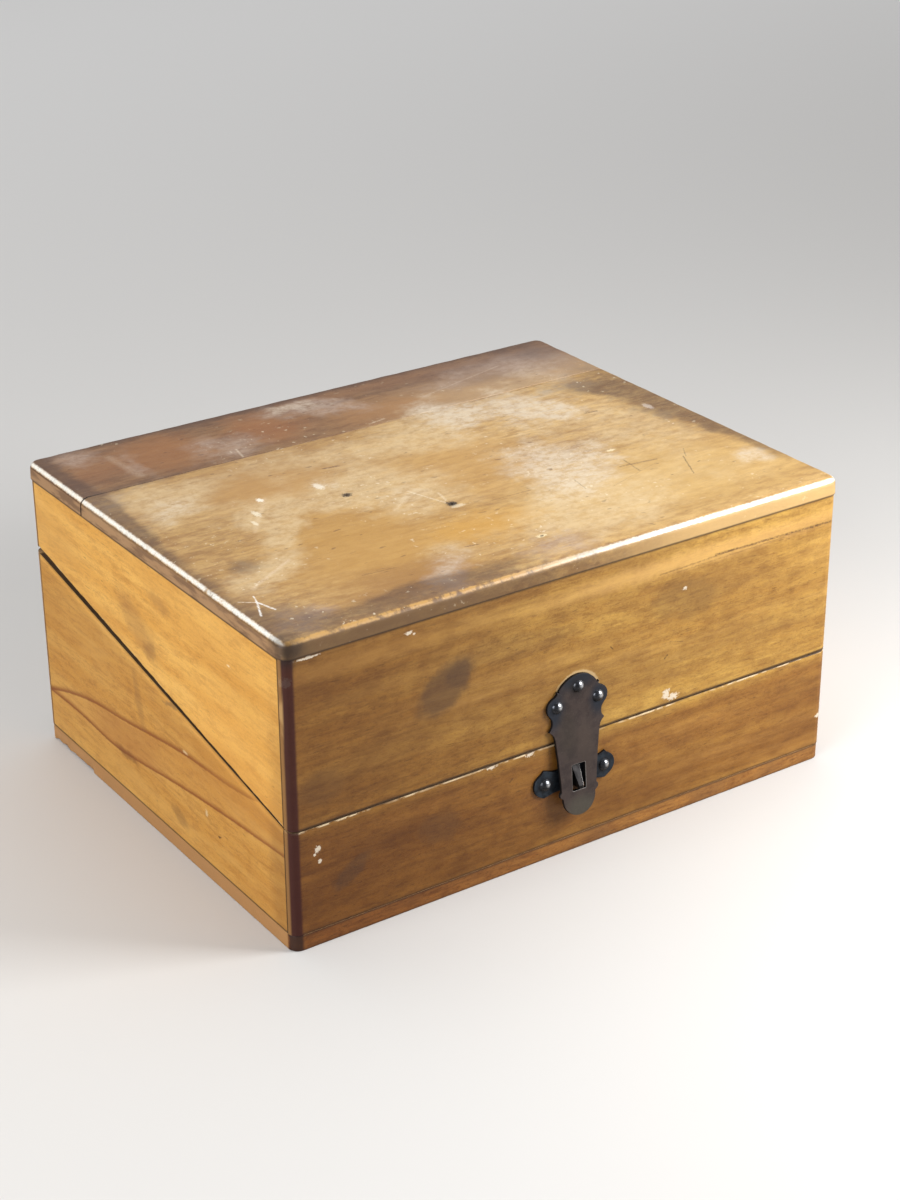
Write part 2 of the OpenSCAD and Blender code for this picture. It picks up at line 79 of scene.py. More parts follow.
def put(tree, kind, fill=None, **settings):
    """Adds a shader node, and fills its sockets with values or with other nodes' outputs."""
    node = tree.nodes.new("ShaderNode" + kind)
    for name, value in settings.items():
        setattr(node, name, value)
    for socket, value in (fill or {}).items():
        if isinstance(value, bpy.types.NodeSocket):
            tree.links.new(value, node.inputs[socket])
        else:
            node.inputs[socket].default_value = value
    return node


def sums(tree, operation, a, b=0.0):
    """The result of one Math node."""
    return put(tree, "Math", {0: a, 1: b}, operation=operation).outputs[0]


def vector_sums(tree, operation, a, b=(0, 0, 0)):
    """The result of one Vector Math node."""
    node = put(tree, "VectorMath", {0: a, 1: b}, operation=operation)
    return node.outputs["Value" if operation in ("LENGTH", "DOT_PRODUCT") else "Vector"]


def fade(tree, value, start, end, low=0.0, high=1.0):
    """Runs softly from low, where value is at start, to high, where it is at end."""
    sockets = {"Value": value, "From Min": start, "From Max": end, "To Min": low, "To Max": high}
    return put(tree, "MapRange", sockets, interpolation_type="SMOOTHSTEP").outputs[0]


def noise(tree, place, scale, detail, roughness=0.5):
    """A Noise node. Scale is a number, or a vector that stretches the noise along each axis."""
    stretched = vector_sums(tree, "MULTIPLY", place, scale if hasattr(scale, "__len__") else (scale,) * 3)
    fill = {"Vector": stretched, "Scale": 1.0, "Detail": detail, "Roughness": roughness}
    return put(tree, "TexNoise", fill)


def mix(tree, share, under, over, way):
    """One colour laid over another in that share."""
    return put(tree, "Mix", {0: share, 6: under, 7: over}, data_type="RGBA", blend_type=way).outputs[2]


def new_effect(name, inputs, outputs):
    """An empty node group with sockets of the kinds Float, Vector or Color."""
    tree = bpy.data.node_groups.new(name, "ShaderNodeTree")
    for label, kind in inputs.items():
        tree.interface.new_socket(label, in_out="INPUT", socket_type="NodeSocket" + kind)
    for label, kind in outputs.items():
        tree.interface.new_socket(label, in_out="OUTPUT", socket_type="NodeSocket" + kind)
    return tree, tree.nodes.new("NodeGroupInput").outputs, tree.nodes.new("NodeGroupOutput").inputs


class Finish:
    """A material built up in coats. Each coat changes the colour and the roughness under its mask."""

    def __init__(self, name, colour, rough):
        self.material = bpy.data.materials.new(name)
        self.material.use_nodes = True
        self.tree = self.material.node_tree
        self.tree.nodes.clear()
        self.place = put(self.tree, "TexCoord").outputs["Object"]
        self.colour = colour
        self.rough = rough
        self.relief = None

    def coat(self, mask, colour, share=1.0, rough=None, way="MIX"):
        """Lays a colour, and a roughness if one is given, under the mask."""
        part = sums(self.tree, "MULTIPLY", mask, share)
        self.colour = mix(self.tree, part, self.colour, colour, way)
        if rough is not None:
            fill = {"Value": part, "To Min": self.rough, "To Max": rough}
            self.rough = put(self.tree, "MapRange", fill).outputs[0]

    def along(self, axis):
        """The place along one axis: X, Y or Z, in metres."""
        return put(self.tree, "SeparateXYZ", {0: self.place}).outputs[axis]

    def near(self, axis, start, end):
        """A mask that is nothing at start and full at end, in millimetres along an axis."""
        return fade(self.tree, self.along(axis), start / 1000, end / 1000)

    def both(self, *masks):
        """Where all the masks are."""
        first, *others = masks
        for other in others:
            first = sums(self.tree, "MULTIPLY", first, other)
        return first

    def close(self, bump=0.0, depth=0.0001, **sockets):
        """Joins the coats to a Principled shader. The named sockets get plain values."""
        fill = {"Base Color": self.colour, "Roughness": self.rough}
        if self.relief is not None:
            raised = {"Height": self.relief, "Strength": bump, "Distance": depth}
            fill["Normal"] = put(self.tree, "Bump", raised).outputs["Normal"]
        for name, value in sockets.items():
            fill[name.replace("_", " ").title().replace("Ior", "IOR")] = value
        shader = put(self.tree, "BsdfPrincipled", fill)
        put(self.tree, "OutputMaterial", {"Surface": shader.outputs[0]})
        return self.material


def soft_lamp(name, place, size, power, aim):
    """A square area lamp at a place, turned to what it aims at."""
    bpy.ops.object.select_all(action="DESELECT")
    bpy.ops.object.light_add(type="AREA", location=place)
    lamp = bpy.context.object
    lamp.name = name
    lamp.data.size = size
    lamp.data.energy = power
    lamp.rotation_euler = (Vector(aim) - Vector(place)).to_track_quat("-Z", "Y").to_euler()


bpy.ops.mesh.primitive_plane_add(size=30, location=(0, 0, 0))
studio_floor = bpy.context.object
studio_floor.name = "studio_floor"
floor_paint = Finish("pale studio floor", paint(158, 154, 148), 0.9)
seen_straight = put(floor_paint.tree, "LightPath").outputs["Is Camera Ray"]
floor_paint.coat(seen_straight, paint(212, 210, 207))
floor_paint.coat(floor_paint.both(seen_straight, floor_paint.near("Y", 150, 1400)), paint(242, 241, 239))
studio_floor.data.materials.append(floor_paint.close(specular_ior_level=0.2))
soft_lamp("window_left", (-1.25, -0.30, 0.60), 0.9, 14.5, (-0.12, 0.0, 0.06))
soft_lamp("lamp_right", (0.37, -0.39, 0.33), 0.24, 3.9, (0.02, -0.095, 0.06))
bpy.ops.object.light_add(type="SUN", rotation=(radians(-24), radians(10), 0))
sky_light = bpy.context.object
sky_light.name = "sky_light"
sky_light.data.energy = 1.15
sky_light.data.angle = radians(70)
surround = bpy.data.worlds.new("pale surround")
surround.use_nodes = True
bpy.context.scene.world = surround
surround_seen = put(surround.node_tree, "LightPath").outputs["Is Camera Ray"]
surround_level = fade(surround.node_tree, surround_seen, 0.0, 1.0, 0.27, 0.62)
surround.node_tree.links.new(surround_level, surround.node_tree.nodes["Background"].inputs["Strength"])
surround.node_tree.nodes["Background"].inputs["Color"].default_value = (0.96, 0.97, 1.0, 1.0)


# The bottom board: one flat board as large as the case, with rounded corners, lying under the walls
# and held by sunk brads. Its rear left edge has lost splinters. The wood's own effects start here.
def clear_bench():
    """Leaves edit mode and deselects everything."""
    if bpy.context.mode == "EDIT_MESH":
        bpy.ops.object.mode_set(mode="OBJECT")
    bpy.ops.object.select_all(action="DESELECT")


def pick_up(piece):
    """Selects one piece and nothing else, in object mode."""
    clear_bench()
    piece.select_set(True)
    bpy.context.view_layer.objects.active = piece


def block(name, low, high):
    """A block between two corners in millimetres, left in edit mode."""
    clear_bench()
    low = mm(*low)
    high = mm(*high)
    bpy.ops.mesh.primitive_cube_add(size=1, location=(low + high) / 2, scale=high - low)
    bpy.ops.object.transform_apply()
    piece = bpy.context.object
    piece.name = piece.data.name = name
    bpy.ops.object.mode_set(mode="EDIT")
    return piece


def rod(radius, depth, place, turn=(0, 0, 0), sides=48):
    """A round bar or cutter, with its sizes and its place in millimetres."""
    bpy.ops.mesh.primitive_cylinder_add(
        vertices=sides, radius=radius / 1000, depth=depth / 1000, location=mm(*place),
        rotation=[radians(angle) for angle in turn],
    )
    return bpy.context.object


def middle(part):
    """The middle of a face or an edge, or a vertex's place, in millimetres."""
    points = [part] if isinstance(part, bmesh.types.BMVert) else part.verts
    return sum((point.co for point in points), Vector()) * (1000 / len(points))


def runs(edge, axis):
    """Whether an edge runs along X (0), Y (1) or Z (2)."""
    run = edge.verts[1].co - edge.verts[0].co
    return abs(run[axis]) > 0.99 * run.length


def choose(kind, test):
    """Selects only the vertices, edges or faces that pass the test, in edit mode."""
    bpy.ops.mesh.select_mode(type=kind)
    bpy.ops.mesh.select_all(action="DESELECT")
    mesh = bmesh.from_edit_mesh(bpy.context.edit_object.data)
    for part in {"VERT": mesh.verts, "EDGE": mesh.edges, "FACE": mesh.faces}[kind]:
        if test(part):
            part.select_set(True)
    bmesh.update_edit_mesh(bpy.context.edit_object.data)


def saw(place, normal, waste=True):
    """Cuts right through along a plane. The waste is what the normal points to, if there is any."""
    bpy.ops.mesh.select_all(action="SELECT")
    bpy.ops.mesh.bisect(plane_co=place, plane_no=normal, use_fill=waste, clear_outer=waste)


def score(axis, low, high, step):
    """Adds cross lines along an axis, from low to high in millimetres, for uneven wear."""
    normal = Vector([1.0 if i == axis else 0.0 for i in range(3)])
    for number in range(int((high - low) / step) + 1):
        saw(normal * (low + number * step) / 1000, normal, waste=False)


def round_edges(test, radius, steps):
    """Rounds the edges that pass the test."""
    choose("EDGE", test)
    bpy.ops.mesh.bevel(offset=radius / 1000, segments=steps, affect="EDGES")


def modify(piece, kind, **settings):
    """Gives a piece a modifier and applies it, in object mode."""
    bpy.context.view_layer.objects.active = piece
    made = piece.modifiers.new(kind.title(), kind)
    for name, value in settings.items():
        setattr(made, name, value)
    bpy.ops.object.modifier_apply(modifier=made.name)


def ease(piece, radius, steps=2, angle=30):
    """Leaves edit mode and takes the sharpness off every edge, with a radius in millimetres."""
    bpy.ops.object.mode_set(mode="OBJECT")
    modify(piece, "BEVEL", width=radius / 1000, segments=steps, limit_method="ANGLE",
           angle_limit=radians(angle), use_clamp_overlap=True)


def carve(piece, cutter, way="DIFFERENCE"):
    """Cuts one closed shape out of another, or joins it on, and clears the cutter away."""
    clear_bench()
    modify(piece, "BOOLEAN", object=cutter, operation=way, solver="EXACT")
    bpy.data.objects.remove(cutter)


def wear_down(piece, share, depth, grain):
    """Sinks the surface unevenly by up to depth where share, which takes a place, is above 0."""
    worn = piece.vertex_groups.new(name="worn")
    for vertex in piece.data.vertices:
        weight = share(vertex.co * 1000)
        if weight > 0:
            worn.add([vertex.index], min(weight, 1.0), "REPLACE")
    rubbing = bpy.data.textures.new(piece.name + "_wear", "CLOUDS")
    rubbing.noise_scale = grain / 1000
    rubbing.noise_depth = 2
    modify(piece, "DISPLACE", texture=rubbing, texture_coords="LOCAL", vertex_group="worn",
           strength=depth / 1000, mid_level=1.0)


def smooth(piece, angle=35):
    """Shades a finished piece smoothly over its soft edges and flat on its faces."""
    pick_up(piece)
    bpy.ops.object.shade_smooth_by_angle(angle=radians(angle))
    modify(piece, "WEIGHTED_NORMAL", keep_sharp=True)


def cover(piece, materials, tests=()):
    """Gives a piece its materials. The faces that pass the first test get the second material, and so on."""
    clear_bench()
    bpy.context.view_layer.objects.active = piece
    for material in materials:
        piece.data.materials.append(material)
    bpy.ops.object.mode_set(mode="EDIT")
    for number, test in enumerate(tests, start=1):
        choose("FACE", test)
        piece.active_material_index = number
        bpy.ops.object.material_slot_assign()
    bpy.ops.object.mode_set(mode="OBJECT")


# The wood grain effect reads a place whose X runs along the grain. It gives broad bands, thin lines
# of late wood, fine fibres, and the short dark flecks of this timber.
grain_effect, grain_in, grain_out = new_effect(
    "wood grain",
    {"Position": "Vector", "Shift": "Vector"},
    {"Bands": "Float", "Lines": "Float", "Fibres": "Float", "Mottle": "Float", "Flecks": "Float"},
)
grain_place = vector_sums(grain_effect, "ADD", grain_in["Position"], grain_in["Shift"])
grain_bend = noise(grain_effect, grain_place, (9, 34, 34), 2.0).outputs["Color"]
grain_bend = vector_sums(grain_effect, "SUBTRACT", grain_bend, (0.5, 0.5, 0.5))
grain_bend = vector_sums(grain_effect, "MULTIPLY", grain_bend, (0, 0.009, 0.009))
bent_place = vector_sums(grain_effect, "ADD", grain_place, grain_bend)
band_noise = noise(grain_effect, bent_place, (6, 110, 110), 4.0, 0.6).outputs[0]
line_noise = noise(grain_effect, bent_place, (2.4, 24, 24), 1.0).outputs[0]
line_wave = sums(grain_effect, "PINGPONG", sums(grain_effect, "MULTIPLY", line_noise, 13.0), 0.5)
fibre_noise = noise(grain_effect, bent_place, (80, 700, 700), 5.0, 0.75).outputs[0]
mottle_noise = noise(grain_effect, bent_place, (130, 330, 330), 5.0, 0.7).outputs[0]
fleck_noise = noise(grain_effect, grain_place, (230, 1700, 1700), 1.0).outputs[0]
links = grain_effect.links
links.new(fade(grain_effect, band_noise, 0.33, 0.67), grain_out["Bands"])
links.new(fade(grain_effect, line_wave, 0.14, 0.0), grain_out["Lines"])
links.new(fade(grain_effect, fibre_noise, 0.34, 0.66), grain_out["Fibres"])
links.new(fade(grain_effect, mottle_noise, 0.34, 0.66), grain_out["Mottle"])
links.new(fade(grain_effect, fleck_noise, 0.69, 0.77), grain_out["Flecks"])

# The ragged effect shifts a place by noise, so that a stain laid on it gets an uneven edge.
ragged_effect, ragged_in, ragged_out = new_effect(
    "ragged edge", {"Position": "Vector", "Amount": "Float", "Grain": "Float"}, {"Position": "Vector"}
)
ragged_scaled = put(
    ragged_effect, "VectorMath", {0: ragged_in["Position"], "Scale": ragged_in["Grain"]}, operation="SCALE"
).outputs[0]
ragged_noise = noise(ragged_effect, ragged_scaled, 1.0, 5.0, 0.62).outputs["Color"]
ragged_noise = vector_sums(ragged_effect, "SUBTRACT", ragged_noise, (0.5, 0.5, 0.5))
ragged_shift = put(
    ragged_effect, "VectorMath", {0: ragged_noise, "Scale": ragged_in["Amount"]}, operation="SCALE"
).outputs[0]
ragged_effect.links.new(
    vector_sums(ragged_effect, "ADD", ragged_in["Position"], ragged_shift), ragged_out["Position"]
)

# The blot effect is a soft oval: 1 inside it, fading to 0 across its edge. Unevenness eats into it.
blot_effect, blot_in, blot_out = new_effect(
    "blot",
    {
        "Position": "Vector", "Centre": "Vector", "Half Size": "Vector", "Turn": "Vector",
        "Softness": "Float", "Unevenness": "Float",
    },
    {"Mask": "Float"},
)
blot_turned = put(
    blot_effect,
    "VectorRotate",
    {"Vector": blot_in["Position"], "Center": blot_in["Centre"], "Rotation": blot_in["Turn"]},
    rotation_type="EULER_XYZ",
    invert=True,
).outputs[0]
blot_offset = vector_sums(blot_effect, "SUBTRACT", blot_turned, blot_in["Centre"])
blot_reach = vector_sums(blot_effect, "DIVIDE", blot_offset, blot_in["Half Size"])
blot_reach = vector_sums(blot_effect, "LENGTH", blot_reach)
blot_reach = sums(blot_effect, "ADD", blot_reach, blot_in["Unevenness"])
blot_outer = sums(blot_effect, "ADD", 1.0, blot_in["Softness"])
blot_inner = sums(blot_effect, "SUBTRACT", 1.0, blot_in["Softness"])
blot_effect.links.new(fade(blot_effect, blot_reach, blot_outer, blot_inner), blot_out["Mask"])

# The stroke effect is a straight scratch or crack from one place to another.
stroke_effect, stroke_in, stroke_out = new_effect(
    "stroke",
    {"Position": "Vector", "Start": "Vector", "End": "Vector", "Width": "Float"},
    {"Mask": "Float"},
)
stroke_away = vector_sums(stroke_effect, "SUBTRACT", stroke_in["Position"], stroke_in["Start"])
stroke_run = vector_sums(stroke_effect, "SUBTRACT", stroke_in["End"], stroke_in["Start"])
stroke_share = sums(
    stroke_effect,
    "DIVIDE",
    vector_sums(stroke_effect, "DOT_PRODUCT", stroke_away, stroke_run),
    vector_sums(stroke_effect, "DOT_PRODUCT", stroke_run, stroke_run),
)
stroke_share = put(stroke_effect, "Clamp", {"Value": stroke_share}).outputs[0]
stroke_foot = put(stroke_effect, "VectorMath", {0: stroke_run, "Scale": stroke_share}, operation="SCALE")
stroke_miss = vector_sums(stroke_effect, "SUBTRACT", stroke_away, stroke_foot.outputs[0])
stroke_miss = vector_sums(stroke_effect, "LENGTH", stroke_miss)
stroke_effect.links.new(fade(stroke_effect, stroke_miss, stroke_in["Width"], 0.0), stroke_out["Mask"])


class WoodFinish(Finish):
    """A finish whose first coats are the grain of a board, along X, or along Y if it is turned."""

    def __init__(self, name, light, dark, shift=(0, 0, 0), turned=False, rough=0.42, contrast=1.0):
        super().__init__(name, dark, rough)
        lengthwise = self.place
        if turned:
            lengthwise = put(
                self.tree, "Mapping", {"Vector": self.place, "Rotation": (0, 0, radians(90))}
            ).outputs[0]
        grain = put(
            self.tree, "Group", {"Position": lengthwise, "Shift": mm(*shift)}, node_tree=grain_effect
        ).outputs
        self.coat(grain["Bands"], light)
        self.coat(grain["Lines"], dark, 0.30 * contrast)
        thin = fade(self.tree, grain["Fibres"], 0.55, 0.0)
        self.coat(thin, paint(150, 116, 80), 0.34 * contrast, way="MULTIPLY")
        thick = fade(self.tree, grain["Fibres"], 0.6, 1.0)
        self.coat(thick, paint(255, 226, 160), 0.16 * contrast, way="SOFT_LIGHT")
        mottled = fade(self.tree, grain["Mottle"], 0.5, 0.0)
        self.coat(mottled, paint(190, 160, 124), 0.40 * contrast, way="MULTIPLY")
        self.coat(grain["Flecks"], paint(66, 38, 18), 0.55 * contrast)
        thread = sums(self.tree, "MULTIPLY", grain["Flecks"], -0.9)
        self.relief = sums(self.tree, "ADD", grain["Fibres"], thread)
        self.torn = self.uneven(30, 42)
        self.frayed = self.uneven(5, 200)
        self.wavy = self.uneven(0.9, 900)
        pits = noise(self.tree, self.place, (230, 300, 300), 7.0, 0.72).outputs[0]
        self.pitted = sums(self.tree, "SUBTRACT", pits, 0.5)
        grit = noise(self.tree, self.place, (1100, 1500, 1500), 4.0, 0.65).outputs[0]
        self.gritty = sums(self.tree, "SUBTRACT", grit, 0.5)
        coarse = fade(self.tree, self.gritty, 0.0, 0.16)
        self.coat(coarse, paint(176, 144, 108), 0.42 * contrast, way="MULTIPLY")

    def uneven(self, amount, grain):
        """The place made uneven by an amount in millimetres."""
        fill = {"Position": self.place, "Amount": amount / 1000, "Grain": float(grain)}
        return put(self.tree, "Group", fill, node_tree=ragged_effect).outputs[0]

    def blot(self, centre, half, softness, turn=(0, 0, 0), place=None, fray=0.5, grit=0.0):
        """A mask for a stain, a bloom or a chip with its middle and half sizes in millimetres."""
        unevenness = sums(self.tree, "MULTIPLY", self.pitted, fray)
        if grit:
            unevenness = sums(self.tree, "ADD", unevenness, sums(self.tree, "MULTIPLY", self.gritty, grit))
        fill = {
            "Position": place or self.frayed,
            "Centre": mm(*centre),
            "Half Size": mm(*half),
            "Turn": [radians(angle) for angle in turn],
            "Softness": softness,
            "Unevenness": unevenness,
        }
        return put(self.tree, "Group", fill, node_tree=blot_effect).outputs[0]

    def stroke(self, start, end, width):
        """A mask for a scratch or a crack."""
        fill = {"Position": self.wavy, "Start": mm(*start), "End": mm(*end), "Width": width / 1000}
        line = put(self.tree, "Group", fill, node_tree=stroke_effect).outputs[0]
        return sums(self.tree, "MULTIPLY", line, fade(self.tree, self.gritty, -0.14, 0.06, 0.25, 1.0))

    def clouds(self, scale, start, end, detail=4.0):
        """A patchy mask. Scale counts patches to the metre, roughly."""
        return fade(self.tree, noise(self.tree, self.place, scale, detail, 0.6).outputs[0], start, end)

    def beyond(self, plane_place, plane_normal, start, end):
        """A mask by the height over a plane, in millimetres: 0 at start and 1 at end."""
        away = vector_sums(self.tree, "SUBTRACT", self.place, mm(*plane_place))
        height = vector_sums(self.tree, "DOT_PRODUCT", away, Vector(plane_normal).normalized())
        return fade(self.tree, height, start / 1000, end / 1000)


bottom_finish = WoodFinish(
    "bottom board, varnished edge", paint(176, 122, 58), paint(140, 92, 42), (310, 40, -20), rough=0.5
)
bottom_finish.coat(bottom_finish.clouds(40, 0.45, 0.7), paint(120, 82, 48), 0.45)
# A dark line along the top edge, under the walls: partly a dark joint, partly painted shade.
bottom_finish.coat(bottom_finish.near("Z", 5.2, 6.2), paint(66, 42, 24), 0.75)
bottom_finish.coat(bottom_finish.near("Z", 1.2, 0.0), paint(92, 62, 40), 0.7)
bottom_finish.coat(
    bottom_finish.both(
        bottom_finish.near("Y", 52, 60), bottom_finish.near("X", -116, -118),
        bottom_finish.near("Z", 5.6, 4.6), bottom_finish.clouds(150, 0.36, 0.5),
    ),
    paint(222, 188, 148), 0.75, 0.7,
)
# Darker towards the left end, like the front: partly patina, partly painted shade.
bottom_finish.coat(bottom_finish.near("X", 60, -110), paint(170, 130, 90), 0.7, way="MULTIPLY")
bottom_finish.coat(
    bottom_finish.both(bottom_finish.near("X", -119.4, -120.6), bottom_finish.near("Y", -91.6, -90.4)),
    paint(196, 146, 92), 0.75,
)
bottom_finish.coat(
    bottom_finish.both(bottom_finish.near("X", -116.4, -117.8), bottom_finish.near("Y", -91.2, -92.4)),
    paint(52, 26, 16), 0.9, 0.5,
)
bare_bottom = WoodFinish(
    "bottom board, bare face", paint(192, 156, 110), paint(160, 122, 80), (90, 0, 30), rough=0.75
)
bare_bottom.coat(bare_bottom.clouds(22, 0.5, 0.75), paint(112, 84, 58), 0.4)
bare_bottom.coat(bare_bottom.clouds(160, 0.62, 0.72), paint(84, 62, 44), 0.35)

bottom_panel = block("bottom_panel", (-121, -95, 0), (121, 95, 6.3))
round_edges(lambda edge: runs(edge, 2), 4, 6)
ease(bottom_panel, 0.4)
BRAD_PLACES = [(x, y) for x in (-95, -31.667, 31.667, 95) for y in (-91, 91)]
BRAD_PLACES += [(x, y) for x in (-117, 117) for y in (-43, 43)]
for brad_x, brad_y in BRAD_PLACES:
    carve(bottom_panel, rod(1.56, 1.8, (brad_x, brad_y, 0), sides=24))
bpy.context.view_layer.objects.active = bottom_panel
bpy.ops.object.mode_set(mode="EDIT")
score(1, 55, 93, 1.0)
saw(mm(0, 0, 3.4), (0, 0, 1), waste=False)
saw(mm(-118, 0, 0), (1, 0, 0), waste=False)
bpy.ops.object.mode_set(mode="OBJECT")
wear_down(
    bottom_panel,
    lambda at: 1.0 if at.x < -120.3 and 58 < at.y < 91 and at.z < 3.0 else 0.0,
    1.6,
    4,
)
cover(
    bottom_panel,
    [bottom_finish.close(0.25, 0.0002), bare_bottom.close(0.4, 0.0002)],
    [lambda face: abs(face.normal.z) > 0.9 and abs(middle(face).x) < 117],
)
smooth(bottom_panel)
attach(bottom_panel, "case_body")
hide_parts("bottom_board")


# The brads that hold the bottom: wire nails with small flat heads, a little rusty, sunk from below
# into the walls. One is turned and copied round the board.
def copy_of(piece, name, offset):
    """Another of a piece, with its own mesh, moved by an offset in millimetres."""
    pick_up(piece)
    bpy.ops.object.duplicate()
    other = bpy.context.object
    other.location += mm(*offset)
    bpy.ops.object.transform_apply()
    other.name = other.data.name = name
    return other


def join(name, pieces):
    """Joins loose pieces into one."""
    clear_bench()
    for piece in pieces:
        piece.select_set(True)
    bpy.context.view_layer.objects.active = pieces[0]
    bpy.ops.object.join()
    pieces[0].name = pieces[0].data.name = name
    return pieces[0]


tarnish_effect, tarnish_in, tarnish_out = new_effect(
    "tarnish",
    {"Position": "Vector", "Scale": "Float"},
    {"Patches": "Float", "Specks": "Float", "Height": "Float"},
)
tarnish_place = put(
    tarnish_effect, "VectorMath", {0: tarnish_in["Position"], "Scale": tarnish_in["Scale"]}, operation="SCALE"
).outputs[0]
tarnish_broad = noise(tarnish_effect, tarnish_place, 1.0, 5.0, 0.6).outputs[0]
tarnish_fine = noise(tarnish_effect, tarnish_place, 7.0, 3.0, 0.6).outputs[0]
tarnish_effect.links.new(fade(tarnish_effect, tarnish_broad, 0.38, 0.66), tarnish_out["Patches"])
tarnish_effect.links.new(fade(tarnish_effect, tarnish_fine, 0.60, 0.72), tarnish_out["Specks"])
tarnish_effect.links.new(tarnish_fine, tarnish_out["Height"])


class MetalFinish(Finish):
    """A metal with patches of tarnish and fine specks. Scale counts patches to the metre, roughly."""

    def __init__(self, name, colour, tarnish, specks, scale, rough=0.45):
        super().__init__(name, colour, rough)
        fill = {"Position": self.place, "Scale": float(scale)}
        skin = put(self.tree, "Group", fill, node_tree=tarnish_effect).outputs
        self.coat(skin["Patches"], tarnish, 0.8, min(rough + 0.14, 1.0))
        self.coat(skin["Specks"], specks, 0.6)
        self.relief = skin["Height"]

    def blot(self, centre, half, softness):
        """A soft mask with its middle and half sizes in millimetres."""
        fill = {"Position": self.place, "Centre": mm(*centre), "Half Size": mm(*half), "Softness": softness}
        return put(self.tree, "Group", fill, node_tree=blot_effect).outputs[0]


brad_steel = MetalFinish(
    "brad steel", paint(120, 114, 106), paint(96, 66, 44), paint(60, 44, 36), 700, 0.5
).close(0.3, 0.00005, metallic=0.8)
clear_bench()
first_brad = rod(1.5, 0.6, (-95, -91, 0.6), sides=24)
bpy.ops.object.transform_apply()
bpy.ops.object.mode_set(mode="EDIT")
choose("FACE", lambda face: face.normal.z > 0.9)
bpy.ops.mesh.inset(thickness=0.0007)
bpy.ops.mesh.extrude_region_move(TRANSFORM_OT_translate={"value": mm(0, 0, 14.9)})
bpy.ops.mesh.extrude_region_move(TRANSFORM_OT_translate={"value": mm(0, 0, 2.2)})
bpy.ops.mesh.merge(type="CENTER")
round_edges(lambda edge: middle(edge).z < 0.35 and not runs(edge, 2), 0.15, 2)
smooth(first_brad, 40)
brads = [first_brad]
for brad_x, brad_y in BRAD_PLACES[1:]:
    brads.append(copy_of(first_brad, "brad", (brad_x + 95, brad_y + 91, 0)))
sunk_brads = join("sunk_brads", brads)
cover(sunk_brads, [brad_steel])
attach(sunk_brads, "case_body")
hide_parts("bottom_brads")


# The front and back boards of body and lid, rabbeted at both ends for the side boards. WALLS gives the
# foot and head of the boards before body and lid were sawn apart along a slant, then the rim's place,
# its slope, and which way the wood lies from it. The front is stained, smudged and scratched.
BODY_SLOPE = atan2(35.3, 190)
LID_SLOPE = atan2(37.7, 190)
BODY_RIM = (0, -95, 47.5)
BODY_RIM_UP = Vector((0, -35.3, 190)).normalized()
LID_RIM = (0, -95, 47.9)
LID_RIM_UP = Vector((0, -37.7, 190)).normalized()
WALLS = {
    "case_body": (6.45, 90, BODY_RIM, BODY_RIM_UP, -1),
    "lid": (45, 112.85, LID_RIM, LID_RIM_UP, 1),
}
HINGES_X = (-74, 74)
PIN_Y = 93.95
PIN_Z = 84.2
# The dark of the gaps and joints: partly dirt, partly painted shade.
GAP_SHADE_AND_DIRT = paint(52, 34, 20)
BARE_LIGHT = paint(206, 172, 122)
BARE_DARK = paint(178, 140, 94)


def rim_wear_and_painted_light(finish, chipped):
    """Lays the worn, chipped light line along the body's rim, worn wood with a painted highlight where the
    edge catches the light, and the dark lower edge of the lid, dirt with painted shade in the gap.
    """
    worn_and_lit_line = finish.both(
        finish.beyond(BODY_RIM, BODY_RIM_UP, -1.1, -0.6), finish.beyond(BODY_RIM, BODY_RIM_UP, 0.3, 0.15)
    )
    ragged_rim = finish.both(worn_and_lit_line, chipped)
    # The light rim line: partly wear, partly a painted highlight.
    finish.coat(ragged_rim, paint(240, 216, 176), 0.9, 0.6)
    lid_edge = finish.both(
        finish.beyond(LID_RIM, LID_RIM_UP, 0.9, 0.35), finish.beyond(LID_RIM, LID_RIM_UP, -0.15, -0.05)
    )
    # The lid's dark lower edge: partly dirt, partly painted shade in the gap.
    finish.coat(lid_edge, GAP_SHADE_AND_DIRT, 0.75)


def joint_dirt_and_shade(finish):
    """Darkens the wood along the glue lines under the top and over the bottom board, partly dirt in the
    joints and partly painted shade under the top's overhang and over the bottom board.
    """
    finish.coat(finish.near("Z", 111.9, 112.8), GAP_SHADE_AND_DIRT, 0.65)
    finish.coat(finish.near("Z", 7.6, 6.5), GAP_SHADE_AND_DIRT, 0.6)


# The front boards are coloured darker than the side boards: partly painted shade, as the front takes less
# light than the left side.
front_finish = WoodFinish(
    "front boards, polished", paint(202, 158, 76), paint(174, 128, 56), (12, 0, 5), rough=0.42,
    contrast=0.75,
)
front_finish.coat(front_finish.clouds((14, 40, 50), 0.40, 0.68, 7.0), paint(144, 102, 48), 0.45)
front_finish.coat(front_finish.clouds((8, 60, 90), 0.50, 0.72), paint(226, 180, 98), 0.45)
front_finish.coat(
    front_finish.clouds((140, 260, 200), 0.40, 0.66, 8.0), paint(196, 176, 150), 0.35, way="MULTIPLY"
)
# Darker towards the left end: partly patina, partly painted shade where the front takes less light.
front_finish.coat(front_finish.near("X", 60, -121), paint(168, 138, 116), 0.75, way="MULTIPLY")
